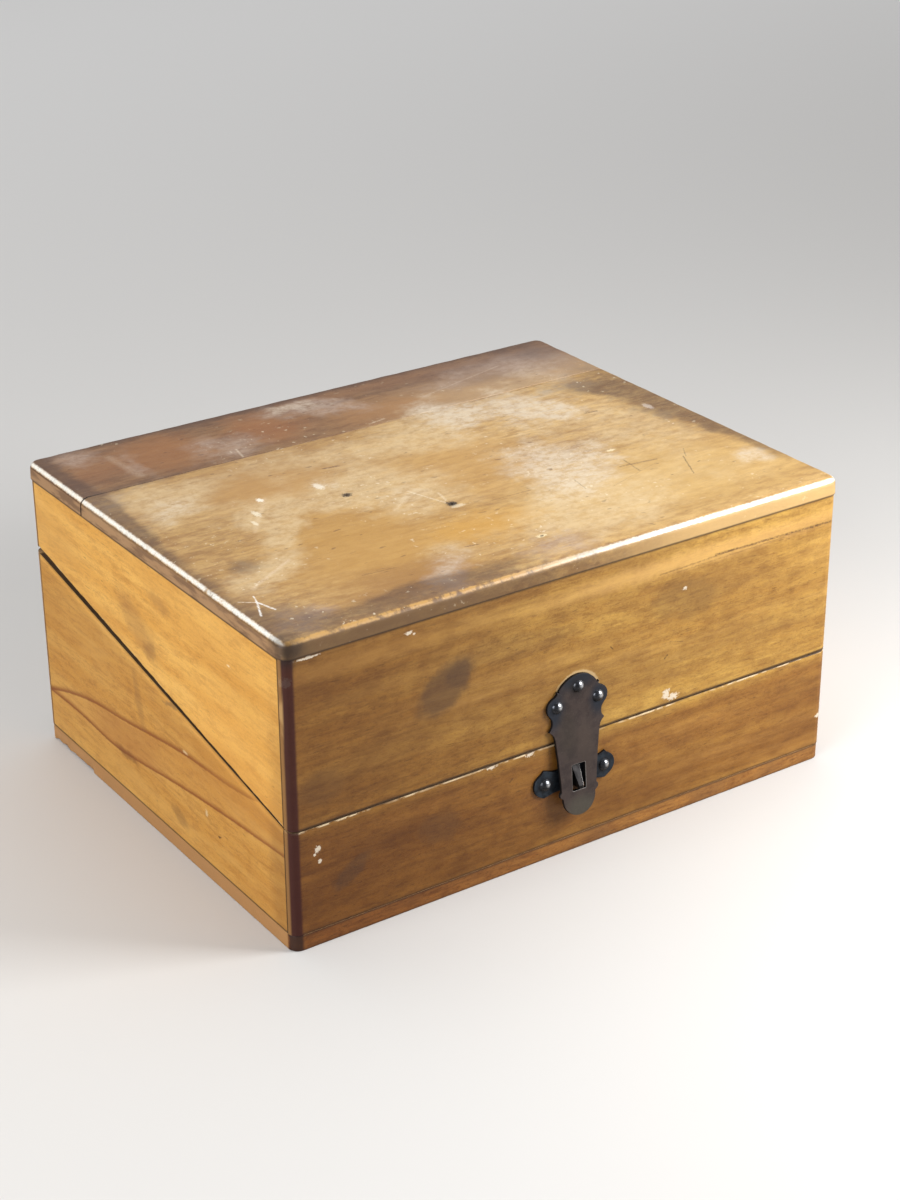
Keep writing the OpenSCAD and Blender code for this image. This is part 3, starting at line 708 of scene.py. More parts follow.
# The body's front is darker than the lid's: painted shade, as the lid takes more light.
front_finish.coat(
    front_finish.beyond(BODY_RIM, BODY_RIM_UP, 0.3, -6), paint(206, 180, 156), 0.75, way="MULTIPLY"
)
front_finish.coat(front_finish.clouds((90, 420, 420), 0.60, 0.72), paint(104, 64, 28), 0.34)
for spot, half, angle, strength in (
    ((-57.5, -95, 84.5), (12.5, 60, 7.6), -36, 0.62),
    ((-52, -95, 88), (6.0, 60, 4.4), -20, 0.35),
    ((-97, -95, 25), (8.5, 60, 3.6), -35, 0.42),
    ((-60, -95, 30), (9.0, 60, 6.0), 10, 0.26),
    ((48, -95, 89), (15.0, 60, 8.0), 8, 0.24),
    ((-108, -95, 62), (9.0, 60, 7.0), 0, 0.20),
    ((-30, -95, 92), (26.0, 60, 5.0), 4, 0.14),
):
    front_finish.coat(front_finish.blot(spot, half, 0.28, (0, angle, 0)), paint(74, 52, 38), strength, 0.5)
# A pale golden band high along the right of the lid's front: a painted highlight.
front_finish.coat(
    front_finish.blot((62, -95, 104.5), (62, 60, 3.2), 0.7), paint(236, 186, 112), 0.5
)
for start, end, width, strength in (
    ((36, -95, 102.0), (70, -95, 102.9), 0.55, 0.5),
    ((62, -95, 103.2), (119, -95, 102.2), 0.75, 0.8),
    ((44, -95, 101.0), (96, -95, 101.7), 0.4, 0.35),
    ((-30.0, -95, 38.3), (-28.8, -95, 39.2), 0.5, 0.9),
    ((39.6, -95, 67.3), (40.8, -95, 68.4), 0.6, 0.9),
    ((14.2, -95, 79.5), (15.4, -95, 78.2), 0.45, 0.8),
    ((42, -95, 73.5), (48, -95, 71.9), 0.3, 0.5),
    ((-29.9, -95, 66.3), (-28.9, -95, 67.0), 0.4, 0.7),
    ((-88, -95, 98), (-62, -95, 90), 0.25, 0.25),
):
    front_finish.coat(front_finish.stroke(start, end, width), paint(58, 36, 20), strength)
for spot, half in (
    ((-72.2, -95, 109.6), (1.3, 60, 0.8)),
    ((-69.8, -95, 108.9), (0.6, 60, 0.5)),
    ((41.0, -95, 52.2), (1.6, 60, 1.9)),
    ((44.2, -95, 50.4), (2.2, 60, 1.2)),
    ((-110.2, -95, 38.6), (1.1, 60, 1.3)),
    ((-109.6, -95, 33.6), (0.6, 60, 0.9)),
    ((-111.6, -95, 36.8), (0.5, 60, 0.4)),
    ((118.4, -95, 19.2), (1.5, 60, 0.9)),
    ((-37.5, -95, 46.9), (2.0, 60, 0.9)),
    ((-21.0, -95, 46.6), (1.6, 60, 1.0)),
    ((-112, -95, 112.0), (4.0, 60, 0.5)),
    ((-119.6, -95, 104.6), (1.4, 60, 1.8)),
    ((48, -95, 93.5), (1.0, 60, 0.6)),
):
    front_finish.coat(
        front_finish.blot(spot, half, 0.2, place=front_finish.wavy, grit=3.4), paint(232, 218, 196), 0.85, 0.7
    )
front_finish.coat(
    front_finish.blot((-0.7, -95, 63.9), (10.5, 60, 10.4), 0.04, place=front_finish.wavy, fray=0.1),
    paint(222, 190, 140), 0.7, 0.6,
)
# Two brown patches below and to the left of the hasp: partly dirt round the fittings, partly painted shadow
# of the hasp.
front_finish.coat(front_finish.blot((-6, -95, 58), (15, 60, 12), 0.5), paint(96, 56, 26), 0.35)
front_finish.coat(front_finish.blot((-4, -95, 26), (15, 60, 10), 0.5), paint(96, 48, 30), 0.3)
rim_wear_and_painted_light(
    front_finish,
    front_finish.both(
        front_finish.clouds((300, 700, 700), 0.40, 0.52, 6.0),
        sums(
            front_finish.tree, "MAXIMUM", front_finish.near("X", 60, 90), front_finish.clouds(44, 0.38, 0.58)
        ),
    ),
)
joint_dirt_and_shade(front_finish)
front_finish.coat(
    front_finish.both(front_finish.near("X", -116.6, -117.9), front_finish.near("Y", -92.0, -93.2)),
    paint(60, 12, 4), 0.95, 0.7,
)
front_finish.coat(
    front_finish.both(front_finish.near("X", -114, -118), front_finish.near("Z", 108, 113)),
    paint(30, 18, 12), 0.7,
)
front_finish.coat(front_finish.near("Y", -93.4, -92.4), paint(150, 108, 60), 0.85)
front_finish.coat(
    front_finish.both(front_finish.near("X", -120.3, -120.8), front_finish.clouds((60, 60, 18), 0.56, 0.62)),
    paint(214, 172, 112), 0.5,
)
front_finish.coat(
    front_finish.both(front_finish.near("X", 119.6, 120.9), front_finish.clouds(300, 0.5, 0.6)),
    paint(232, 200, 150), 0.6,
)

back_finish = WoodFinish(
    "back boards, polished", paint(192, 142, 72), paint(160, 110, 50), (400, 30, 90), rough=0.42
)
back_finish.coat(back_finish.clouds((12, 34, 40), 0.40, 0.68), paint(136, 92, 42), 0.38)
back_finish.coat(back_finish.clouds((8, 60, 90), 0.52, 0.74), paint(216, 164, 86), 0.4)
for spot, half, angle, strength in (
    ((70, 95, 92), (16, 60, 6), 14, 0.30),
    ((-30, 95, 40), (22, 60, 9), -10, 0.25),
    ((0, 95, 12), (90, 60, 6), 2, 0.22),
    ((96, 95, 30), (9, 60, 12), 0, 0.24),
):
    back_finish.coat(back_finish.blot(spot, half, 0.35, (0, angle, 0)), paint(84, 58, 40), strength, 0.5)
for start, end in (
    ((-96, 95, 60), (-70, 95, 54)),
    ((20, 95, 101), (52, 95, 104)),
    ((60, 95, 22), (72, 95, 34)),
):
    back_finish.coat(back_finish.stroke(start, end, 0.4), paint(70, 46, 28), 0.5)
rim_wear_and_painted_light(back_finish, back_finish.clouds((150, 400, 400), 0.45, 0.6))
joint_dirt_and_shade(back_finish)
back_finish.coat(back_finish.near("X", 119.2, 120.8), paint(150, 108, 66), 0.5)
back_finish.coat(back_finish.near("X", -119.2, -120.8), paint(150, 108, 66), 0.5)


def bare_inside(name, shift, turned, axis, start, end, strength):
    """Bare wood, darker towards the foot and the head. The rim is darkened from start to end, in metres from
    the middle, partly by dirt and partly by painted shade in the gap.
    """
    finish = WoodFinish(name, BARE_LIGHT, BARE_DARK, shift, turned, rough=0.72)
    finish.coat(finish.clouds(26, 0.5, 0.75), paint(136, 102, 68), 0.4)
    finish.coat(finish.near("Z", 12, 6.4), paint(104, 78, 52), 0.4)
    finish.coat(finish.near("Z", 106, 113), paint(116, 88, 60), 0.35)
    from_middle = sums(finish.tree, "ABSOLUTE", finish.along(axis))
    # The rim's dark band: partly dirt, partly painted shade in the gap.
    finish.coat(fade(finish.tree, from_middle, start, end), GAP_SHADE_AND_DIRT, strength)
    return finish.close(0.45, 0.0002)


def end_board(name, side, body):
    """A front (side -1) or back (side 1) board of the body or the lid."""
    foot, head, rim_place, rim_up, inward = WALLS[body]
    low_y, high_y = sorted((side * 95, side * 91.4))
    piece = block(name, (-121, low_y, foot), (121, high_y, head))
    saw(mm(-112.85, 0, 0), (1, 0, 0), waste=False)
    saw(mm(112.85, 0, 0), (1, 0, 0), waste=False)
    choose("FACE", lambda face: face.normal.y * side < -0.9 and abs(middle(face).x) < 112)
    bpy.ops.mesh.extrude_region_move(TRANSFORM_OT_translate={"value": mm(0, -4.4 * side, 0)})
    saw(mm(*rim_place), rim_up * -inward)
    round_edges(
        lambda edge: runs(edge, 2) and abs(middle(edge).x) > 120.9 and abs(middle(edge).y) > 94.9, 3.55, 6
    )
    for knuckle_x in HINGES_X if side > 0 else ():
        bpy.ops.object.mode_set(mode="OBJECT")
        carve(piece, rod(2.35, 38.7, (knuckle_x, PIN_Y, PIN_Z), (0, 90, 0), 40))
    ease(piece, 0.3)
    bpy.ops.object.mode_set(mode="EDIT")
    for depth in (1.0, 2.4):
        saw(mm(*rim_place) + rim_up * inward * depth / 1000, rim_up, waste=False)
    score(0, -119.5, 119.5, 1.6)
    bpy.ops.object.mode_set(mode="OBJECT")

    def rim_share(at):
        height = (at - Vector(rim_place)).dot(rim_up) * inward
        if height > 1.2 or abs(at.y) < 94.3:
            return 0.0
        chipped = side < 0 and inward < 0 and (at.x > 84 or abs(at.x + 37.5) < 2.4 or abs(at.x + 21) < 2)
        return 1.0 if chipped else 0.4

    wear_down(piece, rim_share, 0.5 if inward > 0 else 0.9, 3)
    return piece


def inside_of_end(side):
    """The test for the faces of an end board that don't show on the outside."""
    return lambda face: abs(face.normal.z) > 0.6 or (
        face.normal.y * side < 0.2 and abs(middle(face).x) < 120.8
    )


front_wood = front_finish.close(0.22, 0.00015)
back_wood = back_finish.close(0.22, 0.00015)
bare_end_wood = bare_inside("end boards, bare inside", (60, 20, -40), False, "Y", 0.0915, 0.0944, 0.85)
for board_name, board_side, board_body, board_node, board_wood in (
    ("body_front_wall", -1, "case_body", "body_front_board", front_wood),
    ("body_back_wall", 1, "case_body", "body_back_board", back_wood),
    ("lid_front_wall", -1, "lid", "lid_front_board", front_wood),
    ("lid_back_wall", 1, "lid", "lid_back_board", back_wood),
):
    end_wall = end_board(board_name, board_side, board_body)
    cover(end_wall, [board_wood, bare_end_wood], [inside_of_end(board_side)])
    smooth(end_wall)
    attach(end_wall, board_body)
    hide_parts(board_node)


# The side boards of body and lid, let in between the rabbets, with their grain from front to back.
# The left one has two brown late-wood streaks that meet towards the back. The right one is plainer.
def side_finish(name, shift):
    """The polish of a side board before its own marks."""
    finish = WoodFinish(name, paint(246, 190, 98), paint(230, 168, 76), shift, True, 0.40, 0.6)
    finish.coat(finish.clouds((34, 12, 40), 0.42, 0.70), paint(212, 150, 66), 0.36)
    finish.coat(finish.clouds((60, 16, 90), 0.52, 0.76), paint(252, 200, 112), 0.45)
    return finish


def side_edges(finish):
    """The deeper tone of the body, the dark glue lines, partly dirt and partly painted shade under the top
    and over the bottom board, and the parting line of a side board.
    """
    finish.coat(finish.beyond(BODY_RIM, BODY_RIM_UP, 0.3, -4), paint(226, 220, 214), way="MULTIPLY")
    finish.coat(finish.near("Z", 111.9, 112.5), GAP_SHADE_AND_DIRT, 0.85)
    finish.coat(finish.near("Z", 7.5, 6.9), GAP_SHADE_AND_DIRT, 0.8)
    finish.coat(finish.near("Y", -90.5, -91.0), GAP_SHADE_AND_DIRT, 0.85)
    finish.coat(finish.near("Y", 90.6, 91.2), GAP_SHADE_AND_DIRT, 0.5)
    below = finish.both(
        finish.beyond(BODY_RIM, BODY_RIM_UP, -1.3, -0.2), finish.beyond(LID_RIM, LID_RIM_UP, 0.2, -0.1)
    )
    finish.coat(below, paint(112, 72, 32), 0.45)
    above = finish.both(
        finish.beyond(LID_RIM, LID_RIM_UP, 0.9, 0.2), finish.beyond(LID_RIM, LID_RIM_UP, -0.2, 0.0)
    )
    finish.coat(above, paint(150, 108, 64), 0.5)
    brightened = finish.both(above, finish.clouds((300, 120, 300), 0.55, 0.66))
    finish.coat(brightened, paint(244, 216, 168), 0.8)


def streak(finish, points, width, colour, strength):
    """A late-wood streak that follows points along Y and Z in millimetres."""
    curve = put(finish.tree, "FloatCurve")
    spread = {"Value": finish.along("Y"), "From Min": -0.1, "From Max": 0.1, "To Min": 0.0, "To Max": 1.0}
    finish.tree.links.new(put(finish.tree, "MapRange", spread).outputs[0], curve.inputs["Value"])
    line = curve.mapping.curves[0]
    for y, z in points[1:-1]:
        line.points.new((y + 100) / 200, z / 120)
    line.points[0].location = ((points[0][0] + 100) / 200, points[0][1] / 120)
    line.points[-1].location = ((points[-1][0] + 100) / 200, points[-1][1] / 120)
    curve.mapping.update()
    height = sums(finish.tree, "MULTIPLY", curve.outputs[0], 0.12)
    wavy_z = put(finish.tree, "SeparateXYZ", {0: finish.wavy}).outputs["Z"]
    miss = sums(finish.tree, "SUBTRACT", wavy_z, height)
    above = fade(finish.tree, miss, width / 1000, 0.0)
    under = fade(finish.tree, miss, -width / 3500, 0.0)
    in_body = finish.beyond(BODY_RIM, BODY_RIM_UP, 1.0, -3.0)
    finish.coat(finish.both(above, under, in_body), colour, strength, 0.45)
    return miss


left_finish = side_finish("left boards, polished", (0, 0, 17))
STREAK_BROWN = paint(152, 80, 26)
upper_miss = streak(
    left_finish,
    [(-95, 57), (-75.7, 51.3), (-64, 48.7), (-17.3, 44.3), (24.4, 37.7), (57.7, 32.7), (95, 21.5)],
    2.6, STREAK_BROWN, 0.84,
)
lower_miss = streak(
    left_finish,
    [(-95, 37.4), (-44, 32.7), (-14, 29), (19.4, 24), (34.4, 22.3), (66, 23.2), (95, 22.4)],
    2.4, STREAK_BROWN, 0.86,
)
between = left_finish.both(
    fade(left_finish.tree, upper_miss, 0.0, -0.0015),
    fade(left_finish.tree, lower_miss, 0.0, 0.0015),
    left_finish.beyond(BODY_RIM, BODY_RIM_UP, 0.5, -2.0),
)
left_finish.coat(between, paint(214, 148, 72), 0.25)
left_finish.coat(
    left_finish.both(between, left_finish.near("Y", -10, 10), left_finish.near("Y", 60, 38)),
    paint(186, 120, 60), 0.3,
)
for spot, half, angle, colour, strength in (
    ((-121, 26, 23), (60, 9, 1.7), 0, paint(136, 80, 36), 0.55),
    ((-121, 10, 84), (60, 17, 6.5), 28, paint(150, 106, 64), 0.34),
    ((-121, 1, 77), (60, 5, 3.2), -20, paint(132, 92, 56), 0.34),
    ((-121, -8, 100), (60, 9, 2.4), 8, paint(150, 104, 60), 0.34),
    ((-121, 13, 52), (60, 2.6, 11), -14, paint(150, 106, 62), 0.30),
    ((-121, -13, 61.5), (60, 5, 1.1), -10, paint(112, 84, 62), 0.5),
    ((-121, -15, 16), (60, 6, 2.6), 20, paint(136, 96, 56), 0.4),
    ((-121, -92, 30), (60, 10, 60), 0, paint(150, 104, 50), 0.4),
    ((-121, -60, 60), (60, 30, 20), 14, paint(236, 170, 80), 0.3),
    ((-121, 80, 95), (60, 26, 9), 6, paint(214, 160, 84), 0.35),
    ((-121, -45, 22), (60, 1.0, 0.5), 0, paint(90, 54, 28), 0.8),
):
    left_finish.coat(left_finish.blot(spot, half, 0.45, (angle, 0, 0)), colour, strength)
for spot, half in (
    ((-121, -36, 27.5), (60, 0.9, 1.3)),
    ((-121, -22, 46), (60, 1.6, 0.6)),
    ((-121, -58, 96), (60, 1.0, 0.4)),
):
    left_finish.coat(
        left_finish.blot(spot, half, 0.3, place=left_finish.wavy, grit=3.0), paint(250, 224, 176), 0.8
    )
side_edges(left_finish)

right_finish = side_finish("right boards, polished", (0, 120, 60))
for spot, half, angle, strength in (
    ((121, -30, 92), (60, 24, 6), -8, 0.26),
    ((121, 40, 26), (60, 30, 5), 6, 0.30),
    ((121, -60, 24), (60, 14, 9), 0, 0.22),
):
    right_finish.coat(right_finish.blot(spot, half, 0.5, (angle, 0, 0)), paint(150, 100, 54), strength)
for start, end in (((121, -70, 70), (121, -40, 78)), ((121, 20, 100), (121, 44, 96))):
    right_finish.coat(right_finish.stroke(start, end, 0.4), paint(96, 62, 34), 0.5)
side_edges(right_finish)

left_wood = left_finish.close(0.2, 0.00012)
right_wood = right_finish.close(0.2, 0.00012)
bare_side_wood = bare_inside("side boards, bare inside", (10, 50, 40), True, "X", 0.1165, 0.12, 0.9)
for board_name, board_side, board_body, board_node, board_wood in (
    ("body_left_wall", -1, "case_body", "body_left_board", left_wood),
    ("body_right_wall", 1, "case_body", "body_right_board", right_wood),
    ("lid_left_wall", -1, "lid", "lid_left_board", left_wood),
    ("lid_right_wall", 1, "lid", "lid_right_board", right_wood),
):
    wall_foot, wall_head, rim_at, rim_normal, rim_inward = WALLS[board_body]
    near_x, far_x = sorted((board_side * 113, board_side * 121))
    side_wall = block(board_name, (near_x, -91.25, wall_foot), (far_x, 91.25, wall_head))
    saw(mm(*rim_at), rim_normal * -rim_inward)
    ease(side_wall, 0.25)
    bpy.ops.object.mode_set(mode="EDIT")
    saw(mm(*rim_at) + rim_normal * rim_inward * 0.0014, rim_normal, waste=False)
    score(1, -90, 90, 1.6)
    bpy.ops.object.mode_set(mode="OBJECT")
    wear_down(
        side_wall,
        lambda at: 0.6
        if abs(at.x) > 120.6 and (at - Vector(rim_at)).dot(rim_normal) * rim_inward < 0.6
        else 0.0,
        0.6,
        4,
    )
    cover(side_wall, [board_wood, bare_side_wood], [lambda face: abs(middle(face).x) < 120.4])
    smooth(side_wall)
    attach(side_wall, board_body)
    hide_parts(board_node)


# The fittings that hold the microscope lying on its side: a chock with a slot for the foot, a cradle
# with a round notch for the tube, a rack with four wells, and in the lid a hold-down block with a
# notch. They are blocks of pale beech with eased edges, glued in.
def fitting(name, low, high, chamfered):
    """A block with a 6 mm chamfer on the edges that pass the test, if there is one."""
    piece = block(name, low, high)
    if chamfered:
        round_edges(chamfered, 6, 1)
    bpy.ops.object.mode_set(mode="OBJECT")
    return piece


def cutter_block(low, high):
    """A square cutter between two corners in millimetres."""
    cutter = block("cutter", low, high)
    bpy.ops.object.mode_set(mode="OBJECT")
    return cutter


beech = WoodFinish(
    "beech fittings, oiled", paint(214, 176, 122), paint(192, 150, 98), (200, 70, 10), True, 0.55
)
beech.coat(beech.clouds(40, 0.5, 0.75), paint(168, 124, 78), 0.35)
beech.coat(beech.clouds(150, 0.62, 0.74), paint(120, 84, 54), 0.25)
beech_fittings = beech.close(0.3, 0.00015)
rack_beech = WoodFinish(
    "beech rack, oiled", paint(210, 172, 118), paint(188, 146, 94), (20, 170, 110), False, 0.55
)
rack_beech.coat(rack_beech.clouds(40, 0.5, 0.75), paint(164, 120, 76), 0.35)
rack_beech.coat(rack_beech.near("Z", 27, 13), paint(120, 88, 58), 0.4)
beech_rack = rack_beech.close(0.3, 0.00015)

foot_block = fitting(
    "foot_block", (-98, -60, 6.3), (-78, 60, 42.3),
    lambda edge: runs(edge, 0) and middle(edge).z > 42,
)
carve(foot_block, cutter_block((-99, -24, 18.3), (-77, 24, 44)))
cradle_block = fitting(
    "cradle_block", (44, -52, 6.3), (60, 52, 51), lambda edge: runs(edge, 0) and middle(edge).z > 50
)
carve(cradle_block, rod(17.5, 20, (52, 0, 52), (0, 90, 0), 72))
hold_down_block = fitting(
    "hold_down_block", (45, -42, 53), (59, 42, 113), lambda edge: runs(edge, 0) and middle(edge).z < 54
)
carve(hold_down_block, rod(17.5, 20, (52, 0, 52), (0, 90, 0), 72))
eyepiece_rack = fitting("eyepiece_rack", (-71, -87, 6.3), (47, -57, 30.3), None)
for well_x, well_radius in ((-54, 12), (-26, 12), (2, 9.5), (30, 9.5)):
    carve(eyepiece_rack, rod(well_radius, 20, (well_x, -72, 22.3)))
for fitted, fitted_body, fitted_node, fitted_wood in (
    (foot_block, "case_body", "foot_chock", beech_fittings),
    (cradle_block, "case_body", "tube_cradle", beech_fittings),
    (hold_down_block, "lid", "lid_presser", beech_fittings),
    (eyepiece_rack, "case_body", "accessory_rack", beech_rack),
):
    bpy.context.view_layer.objects.active = fitted
    ease(fitted, 0.6, 3, 28)
    cover(fitted, [fitted_wood])
    smooth(fitted)
    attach(fitted, fitted_body)
    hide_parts(fitted_node)


# The linings: strips of green felt glued into the chock's slot and round the two notches. Their faces
# are a little uneven and their edges fuzzy.
felt = Finish("green felt", paint(46, 88, 62), 0.95)
felt_patches = noise(felt.tree, felt.place, 90, 3.0).outputs[0]
felt_fuzz = noise(felt.tree, felt.place, 2600, 4.0, 0.75).outputs[0]
felt.coat(fade(felt.tree, felt_patches, 0.4, 0.7), paint(62, 104, 74), 0.6)
felt.coat(fade(felt.tree, felt_fuzz, 0.52, 0.75), paint(96, 132, 100), 0.55)
felt.coat(fade(felt.tree, felt_fuzz, 0.46, 0.28), paint(22, 50, 34), 0.6)
felt.relief = felt_fuzz
green_felt = felt.close(0.8, 0.0004, sheen_weight=0.5, sheen_roughness=0.5)


def fuzz(piece, depth):
    """Makes a felt strip's surface a little uneven."""
    bpy.ops.object.mode_set(mode="OBJECT")
    wear_down(piece, lambda at: 1.0, depth, 2.5)


def felt_arc(name, half_thickness, cut_z, side):
    """Half a ring of felt round the tube's axis, below the cut (side -1) or above it (side 1)."""
    clear_bench()
    bpy.ops.mesh.primitive_plane_add(size=1, location=mm(52, -16.725, 52), rotation=(0, 0, 0))
    piece = bpy.context.object
    piece.name = piece.data.name = name
    piece.scale = (half_thickness * 0.002, 0.00145, 1)
    bpy.ops.object.transform_apply()
    bpy.ops.object.mode_set(mode="EDIT")
    bpy.ops.mesh.select_all(action="SELECT")
    bpy.ops.mesh.subdivide(number_cuts=3)
    bpy.ops.mesh.select_all(action="SELECT")
    bpy.ops.mesh.spin(steps=64, angle=side * pi, center=mm(52, 0, 52), axis=(1, 0, 0))
    saw(mm(0, 0, cut_z), (0, 0, -side))
    bpy.ops.mesh.select_all(action="SELECT")
    bpy.ops.mesh.normals_make_consistent(inside=False)
    return piece


foot_felt = block("foot_felt", (-98, -23.95, 18.35), (-78, 23.95, 19.85))
score(0, -96, -80, 2)
score(1, -22, 22, 2)
ease(foot_felt, 0.35, 2, 60)
cradle_felt = felt_arc("cradle_felt", 8, 51, -1)
hold_down_felt = felt_arc("hold_down_felt", 7, 53, 1)
for lining, lining_body, lining_node in (
    (foot_felt, "case_body", "foot_chock_felt"),
    (cradle_felt, "case_body", "tube_cradle_felt"),
    (hold_down_felt, "lid", "lid_presser_felt"),
):
    bpy.context.view_layer.objects.active = lining
    fuzz(lining, 0.2)
    cover(lining, [green_felt])
    smooth(lining, 50)
    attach(lining, lining_body)
    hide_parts(lining_node)


# The top of the lid: two planks edge-glued at a seam that runs left to right, rounded over along
# their upper edges. The joint has split at the left end, the polish has bloomed in pale patches
# that also carry a painted sheen, and there are two old pin holes and many scratches.
def plank(name, front_y, back_y, outer_side):
    """One plank, whose outer long edge is at the front (-1) or at the back (1)."""
    piece = block(name, (-121.6, front_y, 113), (121.6, back_y, 120))
    outer_y = front_y if outer_side < 0 else back_y
    round_edges(lambda edge: runs(edge, 2) and abs(middle(edge).y - outer_y) < 0.01, 4.6, 8)
    seam_y = back_y if outer_side < 0 else front_y
    round_edges(
        lambda edge: middle(edge).z > 119.99
        and not all(abs(v.co.y * 1000 - seam_y) < 0.01 for v in edge.verts),
        3, 6,
    )
    ease(piece, 0.25)
    bpy.ops.object.mode_set(mode="EDIT")
    score(0, -119, 119, 2.0)
    score(1, front_y + 2.5, back_y - 2.5, 2.0)
    bpy.ops.object.mode_set(mode="OBJECT")

    def arris_share(at):
        inset = min(121.6 - abs(at.x), outer_side * (outer_y - at.y))
        if at.z < 116 or at.z > 119.97 or inset > 3.2:
            return 0.06 if at.z > 119.9 else 0.0
        return 0.75

    wear_down(piece, arris_share, 0.4, 7)
    return piece


def top_finish(name, light, dark, shift):
    """The polish of a plank with the marks that both planks share."""
    finish = WoodFinish(name, light, dark, shift, rough=0.42, contrast=0.55)
    finish.coat(finish.clouds((14, 34, 10), 0.42, 0.70, 7.0), paint(170, 128, 76), 0.34)
    finish.coat(finish.clouds((120, 300, 300), 0.42, 0.62, 8.0), paint(190, 164, 134), 0.5, way="MULTIPLY")
    finish.coat(finish.clouds((60, 300, 260), 0.66, 0.78), paint(124, 80, 44), 0.22)
    return finish


def field(finish, spots, place=None):
    """One ragged patchwork out of many soft ovals: it grows together where they overlap."""
    total = 0.0
    for spot, half, angle, strength in spots:
        oval = finish.blot((*spot, 120), (*half, 60), 0.9, (0, 0, angle), place or finish.torn, 0.0)
        total = sums(finish.tree, "ADD", total, sums(finish.tree, "MULTIPLY", oval, strength))
    broad = noise(finish.tree, finish.place, (44, 60, 44), 9.0, 0.7).outputs[0]
    uneven = sums(finish.tree, "MULTIPLY", sums(finish.tree, "SUBTRACT", broad, 0.5), 1.7)
    return fade(finish.tree, sums(finish.tree, "ADD", total, uneven), 0.26, 1.02)


def top_blooms_and_sheen(finish):
    """The pale bloom and the greyish haze, partly bloomed polish and partly painted sheen, the dirt along the
    edges and the specks of both planks.
    """
    patina = noise(finish.tree, finish.place, (240, 330, 330), 7.0, 0.78).outputs[0]
    patina = fade(finish.tree, patina, 0.34, 0.60, 0.3, 1.0)
    # The pale patches are partly bloom, partly painted sheen.
    warm = field(finish, (
        ((20, 32), (18, 18), 0, 0.5), ((-100, 22), (20, 18), 10, 0.9), ((-58, -2), (32, 13), 14, 0.9),
        ((-78, -14), (9, 19), -18, 0.8), ((-22, -14), (24, 20), -25, 1.0), ((26, -58), (34, 22), 12, 1.0),
        ((90, 48), (30, 24), 0, 0.55), ((60, -74), (58, 17), 6, 0.45), ((-100, -47), (22, 10), 30, 0.9),
        ((92, -20), (26, 34), 0, 0.6), ((-15, 30), (50, 16), 6, 0.5), ((-35, -72), (14, 12), 0, 0.7),
        ((48, 10), (50, 30), 0, 0.4), ((-66, 38), (50, 9), 0, 0.45),
    ))
    finish.coat(finish.both(warm, patina), paint(222, 196, 152), 0.66, 0.6)
    haze = field(finish, (
        ((66, 76), (36, 15), 4, 0.55), ((-8, 82), (18, 10), -18, 0.85), ((3, 73), (13, 9), -20, 0.8),
        ((-53, 60), (16, 12), 0, 0.9), ((-107, 86), (11, 8), 0, 0.8), ((-45, -82), (16, 9), 35, 1.0),
        ((0, -85), (15, 10), 0, 0.9), ((-107, -84), (13, 10), 0, 0.9), ((100, 60), (18, 26), 0, 0.6),
        ((-88, 64), (5, 16), 0, 0.6), ((-116, 40), (8, 20), 0, 0.5),
    ))
    finish.coat(finish.both(haze, patina), paint(190, 168, 152), 0.56, 0.6)
    cool = field(finish, (
        ((34, 40), (13, 20), -14, 1.0), ((64, 34), (20, 17), 38, 1.05), ((78, 20), (13, 8), -20, 0.8),
        ((46, -22), (22, 20), 0, 1.05), ((-10, 84), (11, 6), -18, 0.8), ((-43, 9), (6, 8), 10, 0.8),
        ((-45, -80), (10, 7), 35, 0.6), ((108, -56), (8, 9), 0, 0.8), ((-100, 20), (14, 13), 0, 0.65),
        ((30, -52), (22, 14), 0, 0.6), ((-24, -18), (14, 12), 0, 0.5),
    ))
    finish.coat(finish.both(cool, patina), paint(222, 208, 186), 0.70, 0.62)
    soiled = field(finish, (
        ((115, 10), (13, 42), 4, 1.1), ((119, -40), (6, 50), 0, 0.8), ((102, 31), (10, 7), -20, 0.7),
        ((-62, -90), (40, 8), 2, 1.3), ((-112, -80), (12, 14), 30, 0.8), ((-121, -20), (6, 100), 0, 0.9),
        ((-121, 60), (6, 50), 0, 0.9), ((60, 95), (90, 6), 0, 0.9), ((-60, 95), (80, 6), 0, 1.0),
        ((-102, -36), (8, 7), 0, 0.65), ((30, -96), (100, 3), 0, 0.9), ((-80, 50), (40, 3), 0, 0.5),
        ((104, 84), (16, 12), 0, 0.6), ((84, 42), (14, 8), 10, 0.5), ((-112, 34), (8, 26), 0, 0.45),
    ), finish.frayed)
    worn_through = fade(finish.tree, patina, 0.3, 1.0, 0.8, 1.0)
    finish.coat(finish.both(soiled, worn_through), paint(78, 52, 40), 0.68, 0.5)
    sprinkle = finish.both(finish.clouds(420, 0.66, 0.71, 2.0), finish.clouds(18, 0.46, 0.6))
    finish.coat(sprinkle, paint(240, 226, 196), 0.5, 0.6)
    dots = finish.both(finish.clouds((180, 420, 300), 0.68, 0.75, 1.0), finish.clouds(24, 0.45, 0.55))
    finish.coat(dots, paint(84, 48, 24), 0.5)


